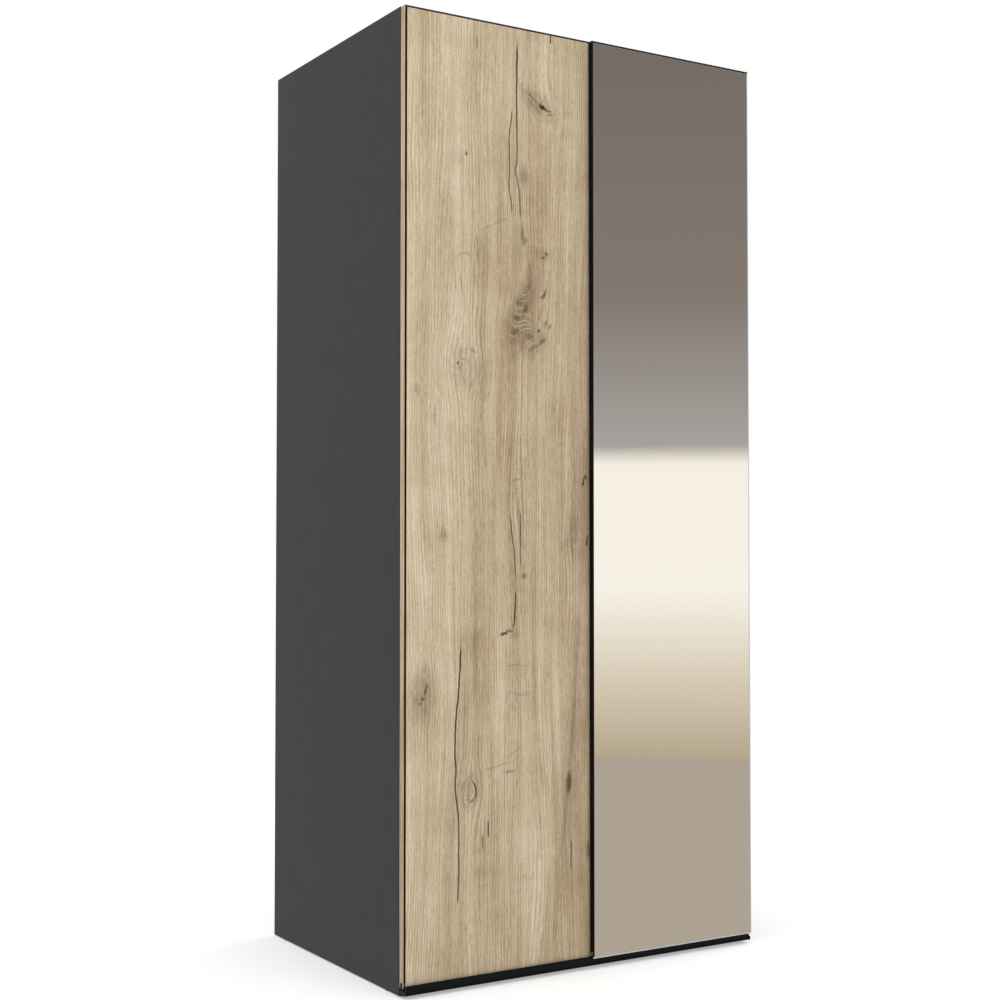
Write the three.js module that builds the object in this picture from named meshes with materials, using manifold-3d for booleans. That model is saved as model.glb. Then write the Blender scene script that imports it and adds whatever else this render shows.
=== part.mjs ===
// A two-door wardrobe whose doors hang in front of the carcass and pass each other.
// Millimetres, +Z up. X runs along the width, -Y is the front, Z = 0 is the floor.
// The origin is at the middle of the footprint, on the floor.

import * as THREE from "three";
import { mergeVertices } from "three/addons/utils/BufferGeometryUtils.js";
import Module from "manifold-3d";

const wasm = await Module();
wasm.setup();

// ---------------------------------------------------------------------------
// Driving dimensions
// ---------------------------------------------------------------------------

// Carcass
const WIDTH = 962;
const HEIGHT = 2160; // floor to the top edge of the side panels
const CARCASS_DEPTH = 656; // front edge to rear edge of the side panels
const PANEL = 16; // melamine-faced chipboard
const HARDBOARD = 3; // back panels
const SEAT = 0.25; // gap left between pieces that bear on each other
const PLINTH_HEIGHT = 60;
const PLINTH_SETBACK = 30; // rear plinth, in from the back panels
const WELL_DEPTH = 50; // top of the side panels down to the top panel
const BACK_INSET = 12; // rear edge of a side panel to the back panel
const BACK_GROOVE = 8; // depth of the groove that holds the back panel
const JOINER_WIDTH = 24; // plastic H-profile between the two back panels
const JOINER_WALL = 1;

// Interior
const SHELF_SETBACK = 20; // front edge of a shelf behind the carcass front
const SHELF_PLAY = 0.75; // each end of a shelf
const HOLE_PITCH = 32;
const HOLE_ROW_INSET = 37;
const SHELF_STEPS = [12, 24, 36, 48]; // pitches above the bottom panel
const HAT_SHELF_STEPS = [52];
const SPARE_STEPS = [-1, 0, 1]; // holes drilled about each shelf height
const PIN_RADIUS = 2.5;
const PIN_REACH = 9; // under the shelf
const PIN_SUNK = 8; // in the panel
const PIN_BITE = 0.5; // pin let into the underside of the shelf
const HOLE_SPARE = 1; // a blind hole past the end of its pin or nail
const RAIL_DROP = 55; // hat shelf to the middle of the clothes rail
const RAIL_HEIGHT = 30; // oval tube
const RAIL_THICKNESS = 15;
const RAIL_WALL = 1.25;
const SOCKET_DEPTH = 12; // cup that the rail end drops into
const SOCKET_WALL = 3;
const SOCKET_BASE = 2.5;

// Floor glides, nailed under the side panels
const GLIDE_HEIGHT = 2.5;
const GLIDE_RADIUS = 7;
const GLIDE_CHAMFER = 1;
const GLIDE_INSET = 60;
const NAIL_RADIUS = 1.25;
const NAIL_LENGTH = 14;
const NAIL_POINT = 2;

// Doors
const GLASS = 4;
const MIRROR_BOARD = 8; // carrier behind the glass
const OAK_BOARD = 18;
const DOORS_GAP = 3; // mirror door to oak door
const CARCASS_GAP = 2.5; // oak door to carcass
const DOORS_MEET = 12; // middle of the seam, right of the wardrobe's middle
const DOORS_OVERLAP = 10;
const OAK_TOP_DROP = 1.5; // top of the oak door below the side panels
const MIRROR_TOP_DROP = 3.5;
const OAK_DOOR_LIFT = 18.5; // bottom of the oak door above the floor
const MIRROR_DOOR_LIFT = 25;
const TOP_TRIM = 4; // black strip along the top of each door
const TRIM_TONGUE = 2; // thickness of the tongue under a top trim
const TONGUE_DEPTH = 5;
const EDGE_BAND = 0.75; // oak left outside the inlaid strip
const INLAY_WIDTH = 5.25;
const INLAY_DEPTH = 5;
const INLAY_HOLLOW = 0.75; // sag of the strip's face
const GRIP_WIDTH = 3.5; // black profile on the free edge of the mirror door
const GRIP_HOLLOW = 1.5; // finger groove along its side
const GRIP_LAND = 2; // flat on each side of the groove
const EDGE_TRIM = 2.75; // aluminium profile on the other edge

// Guide channels in the bottom edges of the doors
const CHANNEL_SLOT = 5;
const CHANNEL_DEPTH = 13;
const CHANNEL_WALL = 1.5;
const OAK_FLANGE = 4.25; // part of the channel that shows under the oak
const GLASS_LEDGE = 3.5; // part that the glass stands on
const SHOE_LENGTH = 40;
const SHOE_INSET = 5;
const SHOE_PLAY = 0.375; // shoe to fin, each side
const SHOE_ROOF = 1.25;
const SHOE_LIFT = 1; // foot of a shoe above the mouth of its channel

// Bottom guide rail
const GUIDE_WALL = 2;
const GUIDE_LIFT = 8.75; // floor to the underside of the foot
const GUIDE_NOSE = 3; // foot in front of the front fin
const GUIDE_FLANGE_DROP = 1.5; // top of the flange below the oak door
const FIN_CLEARANCE = 2.25; // fin tip to the roof of its channel

// Top track, an extrusion with a running bead for each door
const TRACK_BASE = 2;
const TRACK_FRONT = 3; // behind the carcass front
const TRACK_WIDTH = 40;
const TRACK_LIP = 7;
const BEAD_HEIGHT = 8;
const BEAD_RADIUS = 1.75;
const BEAD_WEB = 2;
const OAK_BEAD = 9.5; // behind the carcass front
const MIRROR_BEAD = 29.5;
const TRACK_SCREWS = 5;
const TRACK_SCREW_RADIUS = 2.25;
const TRACK_SCREW_INSET = 90;

// Rollers and their axles
const TREAD_RADIUS = 12; // where the roller runs on the bead
const FLANGE_RADIUS = 15;
const ROLLER_WIDTH = 9;
const ROLLER_CHAMFER = 0.5;
const TREAD_WIDTH = 2.4;
const GROOVE_MOUTH = 6.4;
const GROOVE_RAMP = 0.75; // rise of the groove beside the tread
const HUB_RADIUS = 6;
const RIM_RADIUS = 10;
const WEB_RECESS = 1.5;
const JOURNAL_RADIUS = 3;
const SHOULDER_RADIUS = 5;
const RIVET_RADIUS = 2.5;
const AXLE_HEAD = 1.5;

// Hangers, bent from strip
const HANGER_WIDTH = 50;
const HANGER_INSET = 40; // outer edge of a hanger at its stop, from the wardrobe's side
const OAK_STRIP = 3;
const MIRROR_STRIP = 1.5;
const BEND_RADIUS = 1; // inside the bend
const OAK_HANGER_DROP = 4.5; // below the top of the oak door
const OAK_HANGER_HEIGHT = 39;
const OAK_HANGER_REACH = 17.5;
const OAK_HANGER_LIP = 7;
const TONGUE_CLEARANCE = 0.5; // mirror hanger over the oak door
const MIRROR_HANGER_HEIGHT = 46;
const LEG_OFFSET = 8; // middle of the bead to the near face of the rear leg
const LEG_WIDTH = 26;
const LEG_BELOW_AXLE = 9;
const SCREW_RADIUS = 2.25;
const SLOT_TRAVEL = 5; // height adjustment
const SLOT_SPREAD = 34;

// End stops on the track
const END_REVEAL = 2; // door edge short of the wardrobe's side when fully open
const STOP_HEIGHT = 27;
const STOP_SHELL = 6;
const BUFFER_DEPTH = 8;
const BUFFER_HEIGHT = 14;

// Facets of round pieces, and chords of a drawn arc
const ROUND_ROLLER = 24;
const ROUND_SMALL = 12;
const ROUND_HOLE = 8;
const CHORDS = 6;
const CHORDS_RAIL = 8;
const CHORDS_BEAD = 10;

const THROUGH = 1; // how far a cutting tool passes out of the piece it cuts

// ---------------------------------------------------------------------------
// Planes that pieces share
// ---------------------------------------------------------------------------

const mirrorDoorDepth = GLASS + SEAT + MIRROR_BOARD;
const depth = mirrorDoorDepth + DOORS_GAP + OAK_BOARD + CARCASS_GAP + CARCASS_DEPTH;

const yGlass = -depth / 2; // face of the mirror
const yMirrorRear = yGlass + mirrorDoorDepth;
const yMirrorBoard = yMirrorRear - MIRROR_BOARD;
const yOakFace = yMirrorRear + DOORS_GAP;
const yOakRear = yOakFace + OAK_BOARD;
const yCarcass = yOakRear + CARCASS_GAP; // front edges of the carcass
const yRear = depth / 2;
const yBack = yRear - BACK_INSET - HARDBOARD; // front face of the back panels
const yBayRear = yBack - 2 * SEAT - JOINER_WALL; // clear of the flange of the back joiner

const xSide = WIDTH / 2; // outer face of a side panel
const xInner = xSide - PANEL;
const xPartition = PANEL / 2;

const zPlinthTop = GLIDE_HEIGHT + PLINTH_HEIGHT;
const zFloorTop = zPlinthTop + SEAT + PANEL; // upper face of the bottom panel
const zWell = HEIGHT - WELL_DEPTH; // upper face of the top panel
const zCeiling = zWell - PANEL;

const zOakTop = HEIGHT - OAK_TOP_DROP;
const zMirrorTop = HEIGHT - MIRROR_TOP_DROP;
const xOakLeft = -xSide;
const xOakRight = DOORS_MEET + DOORS_OVERLAP / 2;
const xMirrorRight = xSide;
const xMirrorLeft = DOORS_MEET - DOORS_OVERLAP / 2;

const yOakFin = yOakFace + OAK_BOARD / 2;
const yMirrorFin = yMirrorRear - MIRROR_BOARD / 2;
const zOakSlotRoof = OAK_DOOR_LIFT + CHANNEL_DEPTH;
const zMirrorSlotRoof = MIRROR_DOOR_LIFT + CHANNEL_DEPTH;

const yOakBead = yCarcass + OAK_BEAD;
const yMirrorBead = yCarcass + MIRROR_BEAD;
const zTrack = zWell + SEAT;
const zAxle = zTrack + BEAD_HEIGHT + SEAT + TREAD_RADIUS;
const zTongue = zOakTop + TONGUE_CLEARANCE;

// ---------------------------------------------------------------------------
// Materials
// ---------------------------------------------------------------------------

const finish = (color, roughness, metalness = 0) =>
  new THREE.MeshStandardMaterial({ color, roughness, metalness });

const graphite = finish(0x464747, 0.55);
const oak = finish(0xbba88b, 0.6);
const hardboard = finish(0x4a4a4b, 0.7);
const blackAnodised = finish(0x1a1b1d, 0.4, 0.6);
const blackPlastic = finish(0x1c1c1d, 0.5);
const aluminium = finish(0xc6c7c8, 0.35, 1);
const steel = finish(0xa9abad, 0.35, 1);
const mirror = finish(0xe8ebea, 0.03, 1);
const chipboard = finish(0x3c3b3a, 0.7);
const nylon = finish(0xe6e4dc, 0.5);
const rubber = finish(0x202020, 0.85);

// ---------------------------------------------------------------------------
// Shapes
// ---------------------------------------------------------------------------

const X = new THREE.Vector3(1, 0, 0);
const Y = new THREE.Vector3(0, 1, 0);
const Z = new THREE.Vector3(0, 0, 1);

/** A block given by its span along each axis. */
function block([x0, x1], [y0, y1], [z0, z1]) {
  const made = new THREE.BoxGeometry(x1 - x0, y1 - y0, z1 - z0);
  return made.translate((x0 + x1) / 2, (y0 + y1) / 2, (z0 + z1) / 2);
}

/** Extrudes a shape; curves in it get the given number of chords each. */
function extrude(shape, length, curveSegments) {
  return new THREE.ExtrudeGeometry(shape, { depth: length, bevelEnabled: false, curveSegments });
}

/** A section drawn in (y, z), extruded along X. */
function alongX(shape, [x0, x1], curveSegments = CHORDS) {
  const turn = new THREE.Matrix4().makeBasis(Y, Z, X);
  return extrude(shape, x1 - x0, curveSegments).applyMatrix4(turn).translate(x0, 0, 0);
}

/** A section drawn in (x, z), extruded along Y. */
function alongY(shape, [y0, y1], curveSegments = CHORDS) {
  const turn = new THREE.Matrix4().makeBasis(X, Z, Y.clone().negate());
  return extrude(shape, y1 - y0, curveSegments).applyMatrix4(turn).translate(0, y1, 0);
}

/** A section drawn in (x, y), extruded along Z. */
function alongZ(shape, [z0, z1], curveSegments = CHORDS) {
  return extrude(shape, z1 - z0, curveSegments).translate(0, 0, z0);
}

/** A closed outline through corner points. */
function outline(...corners) {
  return new THREE.Shape(corners.map(([u, v]) => new THREE.Vector2(u, v)));
}

/** An upright slot outline: two half circles, `travel` apart. A travel of 0 gives a circle. */
function slotOutline(u, v, radius, travel) {
  const shape = new THREE.Shape();
  shape.absarc(u, v + travel / 2, radius, 0, Math.PI);
  shape.absarc(u, v - travel / 2, radius, Math.PI, 2 * Math.PI);
  return shape;
}

/** A round bar along X. */
function barX([x0, x1], y, z, radius, segments = ROUND_HOLE) {
  const made = new THREE.CylinderGeometry(radius, radius, x1 - x0, segments);
  return made.rotateZ(Math.PI / 2).translate((x0 + x1) / 2, y, z);
}

/** A profile of [radius, y] pairs turned about an axis along Y through (x, z). */
function turned(profile, x, z, segments) {
  const points = profile.map(([r, y]) => new THREE.Vector2(r, y));
  return new THREE.LatheGeometry(points, segments).translate(x, 0, z);
}

/** The closed solid of a geometry, ready to cut and join. */
function solidOf(geometry) {
  const bare = new THREE.BufferGeometry();
  bare.setAttribute("position", geometry.getAttribute("position"));
  bare.setIndex(geometry.index);
  const merged = mergeVertices(bare, 1e-4);
  const vertProperties = merged.getAttribute("position").array;
  const triVerts = new Uint32Array(merged.index.array);
  return new wasm.Manifold(new wasm.Mesh({ numProp: 3, vertProperties, triVerts }));
}

/** A geometry with others cut away from it. */
function cut(geometry, ...tools) {
  return geometryOf(tools.reduce((left, tool) => left.subtract(solidOf(tool)), solidOf(geometry)));
}

/** A geometry joined with others that reach into it. */
function join(geometry, ...others) {
  return geometryOf(others.reduce((sum, other) => sum.add(solidOf(other)), solidOf(geometry)));
}

/** The geometry of a solid. */
function geometryOf(solid) {
  const mesh = solid.getMesh();
  const made = new THREE.BufferGeometry();
  made.setAttribute("position", new THREE.BufferAttribute(mesh.vertProperties, mesh.numProp));
  made.setIndex(new THREE.BufferAttribute(mesh.triVerts, 1));
  made.computeVertexNormals();
  return made;
}

/** A named piece. */
function piece(name, geometry, material) {
  const mesh = new THREE.Mesh(geometry, material);
  mesh.name = name;
  return mesh;
}

/** A group of pieces. */
function assembly(name, ...pieces) {
  const group = new THREE.Group();
  group.name = name;
  return group.add(...pieces);
}

const spread = (middle, width) => [middle - width / 2, middle + width / 2];

// ---------------------------------------------------------------------------
// Carcass
// ---------------------------------------------------------------------------

const leftBay = { from: -xInner, to: -xPartition };
const rightBay = { from: xPartition, to: xInner };
const holeRows = [yCarcass + HOLE_ROW_INSET, yBack - HOLE_ROW_INSET];
const glideRows = [yCarcass + GLIDE_INSET, yRear - GLIDE_INSET];
const xGlide = xSide - PANEL / 2;
const pinHeight = (step) => zFloorTop + step * HOLE_PITCH;

/** Blind holes for shelf pins in a panel face at x, drilled towards `into` (-1 or 1). */
function pinHoles(x, into, steps) {
  const span = [x, x + into * (PIN_SUNK + HOLE_SPARE)].sort((a, b) => a - b);
  const heights = steps.flatMap((step) => SPARE_STEPS.map((spare) => pinHeight(step + spare)));
  return heights.flatMap((z) => holeRows.map((y) => barX(span, y, z, PIN_RADIUS + SEAT)));
}

/** A side panel: grooved for the back panel, drilled for shelf pins and glide nails. */
function sidePanel(name, side, steps) {
  const [yGroove, yGrooveEnd] = [yBack - SEAT, yBack + HARDBOARD + SEAT];
  const xGroove = xInner - SEAT + BACK_GROOVE;
  const plan = outline(
    [side * xSide, yCarcass],
    [side * xInner, yCarcass],
    [side * xInner, yGroove],
    [side * xGroove, yGroove],
    [side * xGroove, yGrooveEnd],
    [side * xInner, yGrooveEnd],
    [side * xInner, yRear],
    [side * xSide, yRear],
  );
  const nailHoles = glideRows.map((y) => {
    const circle = slotOutline(side * xGlide, y, NAIL_RADIUS + SEAT, 0);
    return alongZ(circle, [GLIDE_HEIGHT - THROUGH, GLIDE_HEIGHT + NAIL_LENGTH + HOLE_SPARE], ROUND_HOLE / 2);
  });
  const board = alongZ(plan, [GLIDE_HEIGHT + SEAT, HEIGHT]);
  return piece(name, cut(board, ...nailHoles, ...pinHoles(side * xInner, side, steps)), graphite);
}

/** The partition between the bays, drilled from both faces. */
function partition() {
  const heights = [zFloorTop + SEAT, zCeiling - SEAT];
  const board = block([-xPartition, xPartition], [yCarcass, yBayRear], heights);
  const holes = [...pinHoles(-xPartition, 1, SHELF_STEPS), ...pinHoles(xPartition, -1, HAT_SHELF_STEPS)];
  return piece("centre_partition", cut(board, ...holes), graphite);
}

/** The horizontal boards between the side panels, and the plinths under the lower one. */
function horizontals() {
  const across = [-xInner + SEAT, xInner - SEAT];
  const deep = [yCarcass, yBack - SEAT];
  const plinth = [GLIDE_HEIGHT + SEAT, zPlinthTop];
  const yPlinth = yBack - PLINTH_SETBACK;
  return [
    piece("bottom_panel", block(across, deep, [zFloorTop - PANEL, zFloorTop]), graphite),
    piece("top_panel", block(across, deep, [zCeiling, zWell]), graphite),
    piece("plinth_front", block(across, [yCarcass, yCarcass + PANEL], plinth), blackPlastic),
    piece("plinth_rear", block(across, [yPlinth - PANEL, yPlinth], plinth), graphite),
  ];
}

/** Two thin back panels in the side grooves, and the H-profile that joins them. */
function backPanels() {
  const outer = xInner + BACK_GROOVE - 2 * SEAT;
  const inner = JOINER_WALL / 2 + SEAT;
  const tall = [zFloorTop - PANEL, zWell];
  const thick = [yBack, yBack + HARDBOARD];
  const [yFront, yEnd] = [yBack - SEAT - JOINER_WALL, yBack + HARDBOARD + SEAT + JOINER_WALL];
  const [w, t] = [JOINER_WIDTH / 2, JOINER_WALL / 2];
  const section = outline(
    [-w, yFront], [w, yFront], [w, yFront + JOINER_WALL], [t, yFront + JOINER_WALL],
    [t, yEnd - JOINER_WALL], [w, yEnd - JOINER_WALL], [w, yEnd], [-w, yEnd],
    [-w, yEnd - JOINER_WALL], [-t, yEnd - JOINER_WALL], [-t, yFront + JOINER_WALL],
    [-w, yFront + JOINER_WALL],
  );
  return [
    piece("back_panel_left", block([-outer, -inner], thick, tall), hardboard),
    piece("back_panel_right", block([inner, outer], thick, tall), hardboard),
    piece("back_panel_joiner", alongZ(section, [zFloorTop + SEAT, zCeiling - SEAT]), blackPlastic),
  ];
}

/** A loose shelf with the four pins that it lies on. */
function shelf(name, bay, step) {
  const underside = pinHeight(step) + PIN_RADIUS - PIN_BITE;
  const board = block(
    [bay.from + SHELF_PLAY, bay.to - SHELF_PLAY],
    [yCarcass + SHELF_SETBACK, yBayRear],
    [underside, underside + PANEL],
  );
  const ends = [
    [bay.from - PIN_SUNK, bay.from + PIN_REACH],
    [bay.to - PIN_REACH, bay.to + PIN_SUNK],
  ];
  const pins = ends.flatMap((span) => holeRows.map((y) => barX(span, y, pinHeight(step), PIN_RADIUS)));
  return piece(name, join(board, ...pins), graphite);
}

/** An oval outline in (y, z), `height` tall and `thickness` wide. */
function ovalOutline(y, z, height, thickness) {
  return slotOutline(y, z, thickness / 2, height - thickness);
}

/** The clothes rail and the two cups that carry it under the hat shelf. */
function clothesRail() {
  const y = (yCarcass + yBack) / 2;
  const z = pinHeight(HAT_SHELF_STEPS[0]) - RAIL_DROP;
  const tube = ovalOutline(y, z, RAIL_HEIGHT, RAIL_THICKNESS);
  tube.holes.push(ovalOutline(y, z, RAIL_HEIGHT - 2 * RAIL_WALL, RAIL_THICKNESS - 2 * RAIL_WALL));
  const [start, end] = [rightBay.from + SEAT, rightBay.to - SEAT];
  const clear = SEAT + SOCKET_BASE;
  const grow = 2 * SOCKET_WALL;
  const shell = ovalOutline(y, z, RAIL_HEIGHT + grow, RAIL_THICKNESS + grow);
  const pocket = ovalOutline(y, z, RAIL_HEIGHT + 2 * SEAT, RAIL_THICKNESS + 2 * SEAT);
  const cups = [
    ["rail_socket_left", [start, start + SOCKET_BASE + SOCKET_DEPTH], [start + SOCKET_BASE, end]],
    ["rail_socket_right", [end - SOCKET_BASE - SOCKET_DEPTH, end], [start, end - SOCKET_BASE]],
  ];
  return [
    piece("clothes_rail", alongX(tube, [start + clear, end - clear], CHORDS_RAIL), steel),
    ...cups.map(([name, shellSpan, pocketSpan]) =>
      piece(name, cut(alongX(shell, shellSpan, CHORDS_RAIL), alongX(pocket, pocketSpan, CHORDS_RAIL)), nylon),
    ),
  ];
}

/** The four glides: a domed foot with a nail up into the side panel. */
function floorGlides() {
  const profile = [
    [0, 0], [GLIDE_RADIUS - GLIDE_CHAMFER, 0], [GLIDE_RADIUS, GLIDE_CHAMFER], [GLIDE_RADIUS, GLIDE_HEIGHT],
    [NAIL_RADIUS, GLIDE_HEIGHT], [NAIL_RADIUS, GLIDE_HEIGHT + NAIL_LENGTH - NAIL_POINT],
    [0, GLIDE_HEIGHT + NAIL_LENGTH],
  ];
  return [-1, 1].flatMap((side) =>
    glideRows.map((y, row) => {
      const foot = turned(profile, 0, 0, ROUND_SMALL).rotateX(Math.PI / 2).translate(side * xGlide, y, 0);
      return piece(`floor_glide_${row ? "rear" : "front"}_${side < 0 ? "left" : "right"}`, foot, nylon);
    }),
  );
}

// ---------------------------------------------------------------------------
// Track, stops and bottom guide
// ---------------------------------------------------------------------------

/** The running track: a base, a rounded bead for each door, and a stiffening lip. */
function topTrack() {
  const [y0, y1] = [yCarcass + TRACK_FRONT, yCarcass + TRACK_FRONT + TRACK_WIDTH];
  const floor = zTrack + TRACK_BASE;
  const middle = zTrack + BEAD_HEIGHT - BEAD_RADIUS;
  const neck = Math.acos(BEAD_WEB / 2 / BEAD_RADIUS);
  const section = new THREE.Shape();
  section.moveTo(y0, zTrack);
  section.lineTo(y1, zTrack);
  section.lineTo(y1, zTrack + TRACK_LIP);
  section.lineTo(y1 - TRACK_BASE, zTrack + TRACK_LIP);
  section.lineTo(y1 - TRACK_BASE, floor);
  for (const y of [yMirrorBead, yOakBead]) {
    section.lineTo(y + BEAD_WEB / 2, floor);
    section.absarc(y, middle, BEAD_RADIUS, -neck, Math.PI + neck);
    section.lineTo(y - BEAD_WEB / 2, floor);
  }
  section.lineTo(y0, floor);
  const length = xInner - SEAT;
  const pitch = (2 * (length - TRACK_SCREW_INSET)) / (TRACK_SCREWS - 1);
  const screwHoles = Array.from({ length: TRACK_SCREWS }, (_, i) => {
    const x = -length + TRACK_SCREW_INSET + i * pitch;
    const circle = slotOutline(x, (yOakBead + yMirrorBead) / 2, TRACK_SCREW_RADIUS, 0);
    return alongZ(circle, [zTrack - THROUGH, floor + THROUGH], ROUND_HOLE / 2);
  });
  return piece("top_track", cut(alongX(section, [-length, length], CHORDS_BEAD), ...screwHoles), aluminium);
}

const xStopFace = xSide - HANGER_INSET - HANGER_WIDTH / 2 + FLANGE_RADIUS + SEAT;
const ySpan = [yOakBead - ROLLER_WIDTH / 2, yMirrorBead + ROLLER_WIDTH / 2];

/** An end stop that straddles both beads, and the rubber nose that meets the rollers. */
function endStop(word, side) {
  const base = zTrack + TRACK_BASE + SEAT;
  const [xOut, xIn] = [xInner - 2 * SEAT, xStopFace + BUFFER_DEPTH + SEAT];
  const shoulder = base + STOP_HEIGHT - STOP_SHELL;
  const profile = outline(
    [side * xOut, base],
    [side * xIn, base],
    [side * xIn, shoulder],
    [side * (xIn + STOP_SHELL), base + STOP_HEIGHT],
    [side * xOut, base + STOP_HEIGHT],
  );
  const beads = [yOakBead, yMirrorBead].map((y) =>
    block([-xSide, xSide], spread(y, 2 * (BEAD_RADIUS + SEAT)), [zTrack, zTrack + BEAD_HEIGHT + SEAT]),
  );
  const r = BUFFER_HEIGHT / 2;
  const nose = new THREE.Shape();
  nose.moveTo(side * (xIn - SEAT), zAxle - r);
  nose.lineTo(side * (xStopFace + r / 2), zAxle - r);
  nose.quadraticCurveTo(side * xStopFace, zAxle - r, side * xStopFace, zAxle - r / 2);
  nose.lineTo(side * xStopFace, zAxle + r / 2);
  nose.quadraticCurveTo(side * xStopFace, zAxle + r, side * (xStopFace + r / 2), zAxle + r);
  nose.lineTo(side * (xIn - SEAT), zAxle + r);
  return [
    piece(`track_stop_${word}`, cut(alongY(profile, ySpan), ...beads), blackPlastic),
    piece(`stop_buffer_${word}`, alongY(nose, ySpan), rubber),
  ];
}

/** The bottom guide: a flange on the carcass front, a foot under the doors, and a fin for each. */
function bottomGuide() {
  const [yFlange, yFlangeRear] = [yCarcass - SEAT - GUIDE_WALL, yCarcass - SEAT];
  const yNose = yMirrorFin - GUIDE_WALL / 2 - GUIDE_NOSE;
  const foot = GUIDE_LIFT + GUIDE_WALL;
  const fins = [
    [yOakFin, zOakSlotRoof - FIN_CLEARANCE],
    [yMirrorFin, zMirrorSlotRoof - FIN_CLEARANCE],
  ];
  const section = new THREE.Shape();
  section.moveTo(yNose, GUIDE_LIFT);
  section.lineTo(yFlange, GUIDE_LIFT);
  section.lineTo(yFlange, GLIDE_HEIGHT + SEAT);
  section.lineTo(yFlangeRear, GLIDE_HEIGHT + SEAT);
  section.lineTo(yFlangeRear, OAK_DOOR_LIFT - GUIDE_FLANGE_DROP);
  section.lineTo(yFlange, OAK_DOOR_LIFT - GUIDE_FLANGE_DROP);
  section.lineTo(yFlange, foot);
  for (const [y, tip] of fins) {
    section.lineTo(y + GUIDE_WALL / 2, foot);
    section.absarc(y, tip - GUIDE_WALL / 2, GUIDE_WALL / 2, 0, Math.PI);
    section.lineTo(y - GUIDE_WALL / 2, foot);
  }
  section.lineTo(yNose, foot);
  return piece("bottom_guide_rail", alongX(section, [-xSide, xSide]), blackAnodised);
}

// ---------------------------------------------------------------------------
// Running gear of a door
// ---------------------------------------------------------------------------

/** A strip bent into a bridge: a front leg, a tongue across, and a rear leg, drawn in (y, z). */
function bridgeOutline([yFront, yEnd], zTop, zFrontFoot, zRearFoot, strip) {
  const outer = BEND_RADIUS + strip;
  const [yA, yB, zC] = [yFront + outer, yEnd - outer, zTop - outer];
  const section = new THREE.Shape();
  section.moveTo(yFront, zFrontFoot);
  section.absarc(yA, zC, outer, Math.PI, Math.PI / 2, true);
  section.absarc(yB, zC, outer, Math.PI / 2, 0, true);
  section.lineTo(yEnd, zRearFoot);
  section.lineTo(yEnd - strip, zRearFoot);
  section.absarc(yB, zC, BEND_RADIUS, 0, Math.PI / 2);
  section.absarc(yA, zC, BEND_RADIUS, Math.PI / 2, Math.PI);
  section.lineTo(yFront + strip, zFrontFoot);
  return section;
}

/** Cutters for the slots and the locking hole by which a hanger is screwed to its door. */
function screwSlots(x, zMiddle, ySlots) {
  return [-1, 1].map((side) => {
    const slot = slotOutline(x + (side * SLOT_SPREAD) / 2, zMiddle, SCREW_RADIUS, SLOT_TRAVEL);
    return alongY(slot, ySlots);
  });
}

/** A grooved roller on the bead at y, turning on an axle along Y at x. */
function roller(name, x, y) {
  const half = ROLLER_WIDTH / 2;
  const bore = JOURNAL_RADIUS + SEAT;
  const c = ROLLER_CHAMFER;
  const web = half - WEB_RECESS;
  const nearHalf = [
    [TREAD_RADIUS, TREAD_WIDTH / 2], [TREAD_RADIUS + GROOVE_RAMP, TREAD_WIDTH],
    [FLANGE_RADIUS, GROOVE_MOUTH / 2], [FLANGE_RADIUS, half - c], [FLANGE_RADIUS - c, half],
    [RIM_RADIUS, half], [RIM_RADIUS - c, web], [HUB_RADIUS + c, web], [HUB_RADIUS, half], [bore, half],
  ];
  const farHalf = nearHalf.map(([r, along]) => [r, -along]).reverse();
  const profile = [...farHalf, ...nearHalf, farHalf[0]];
  return piece(name, turned(profile, x, zAxle, ROUND_ROLLER).translate(0, y, 0), nylon);
}

/** A shouldered axle riveted into a strip that spans [yStrip, yStripRear], for a roller at y. */
function axle(name, x, [yStrip, yStripRear], y, frontHead) {
  const half = ROLLER_WIDTH / 2 + SEAT;
  const start = frontHead ? yStrip - SEAT : yStrip + SEAT;
  const tip = start - AXLE_HEAD;
  const headed = [[0, tip], [SHOULDER_RADIUS, tip], [SHOULDER_RADIUS, start]];
  const profile = [
    ...(frontHead ? headed : [[0, start]]),
    [RIVET_RADIUS, start], [RIVET_RADIUS, yStripRear + SEAT],
    [SHOULDER_RADIUS, yStripRear + SEAT], [SHOULDER_RADIUS, y - half],
    [JOURNAL_RADIUS, y - half], [JOURNAL_RADIUS, y + half],
    [SHOULDER_RADIUS, y + half], [SHOULDER_RADIUS, y + half + AXLE_HEAD], [0, y + half + AXLE_HEAD],
  ];
  return piece(name, turned(profile, x, zAxle, ROUND_SMALL), steel);
}

/** The rivet hole for an axle. */
function rivetHole(x, yThrough) {
  return alongY(slotOutline(x, zAxle, RIVET_RADIUS + SEAT, 0), yThrough);
}

/** A nylon shoe at x in a channel whose slot roof is at zRoof, astride the fin at y. */
function guideShoe(name, x, y, zRoof) {
  const outer = CHANNEL_SLOT / 2 - SEAT;
  const inner = GUIDE_WALL / 2 + SHOE_PLAY;
  const [top, roof, foot] = [zRoof - SEAT, zRoof - SEAT - SHOE_ROOF, zRoof - CHANNEL_DEPTH + SHOE_LIFT];
  const section = outline(
    [y - outer, foot], [y - inner, foot], [y - inner, roof], [y + inner, roof],
    [y + inner, foot], [y + outer, foot], [y + outer, top], [y - outer, top],
  );
  return piece(name, alongX(section, spread(x, SHOE_LENGTH)), nylon);
}

/** Middles of a door's two hangers, so that each door meets both stops with a roller. */
function hangerPlaces(xLeft, xRight, leftReveal, rightReveal) {
  const reach = HANGER_INSET + HANGER_WIDTH / 2;
  return { left: xLeft + reach - leftReveal, right: xRight - reach + rightReveal };
}

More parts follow.
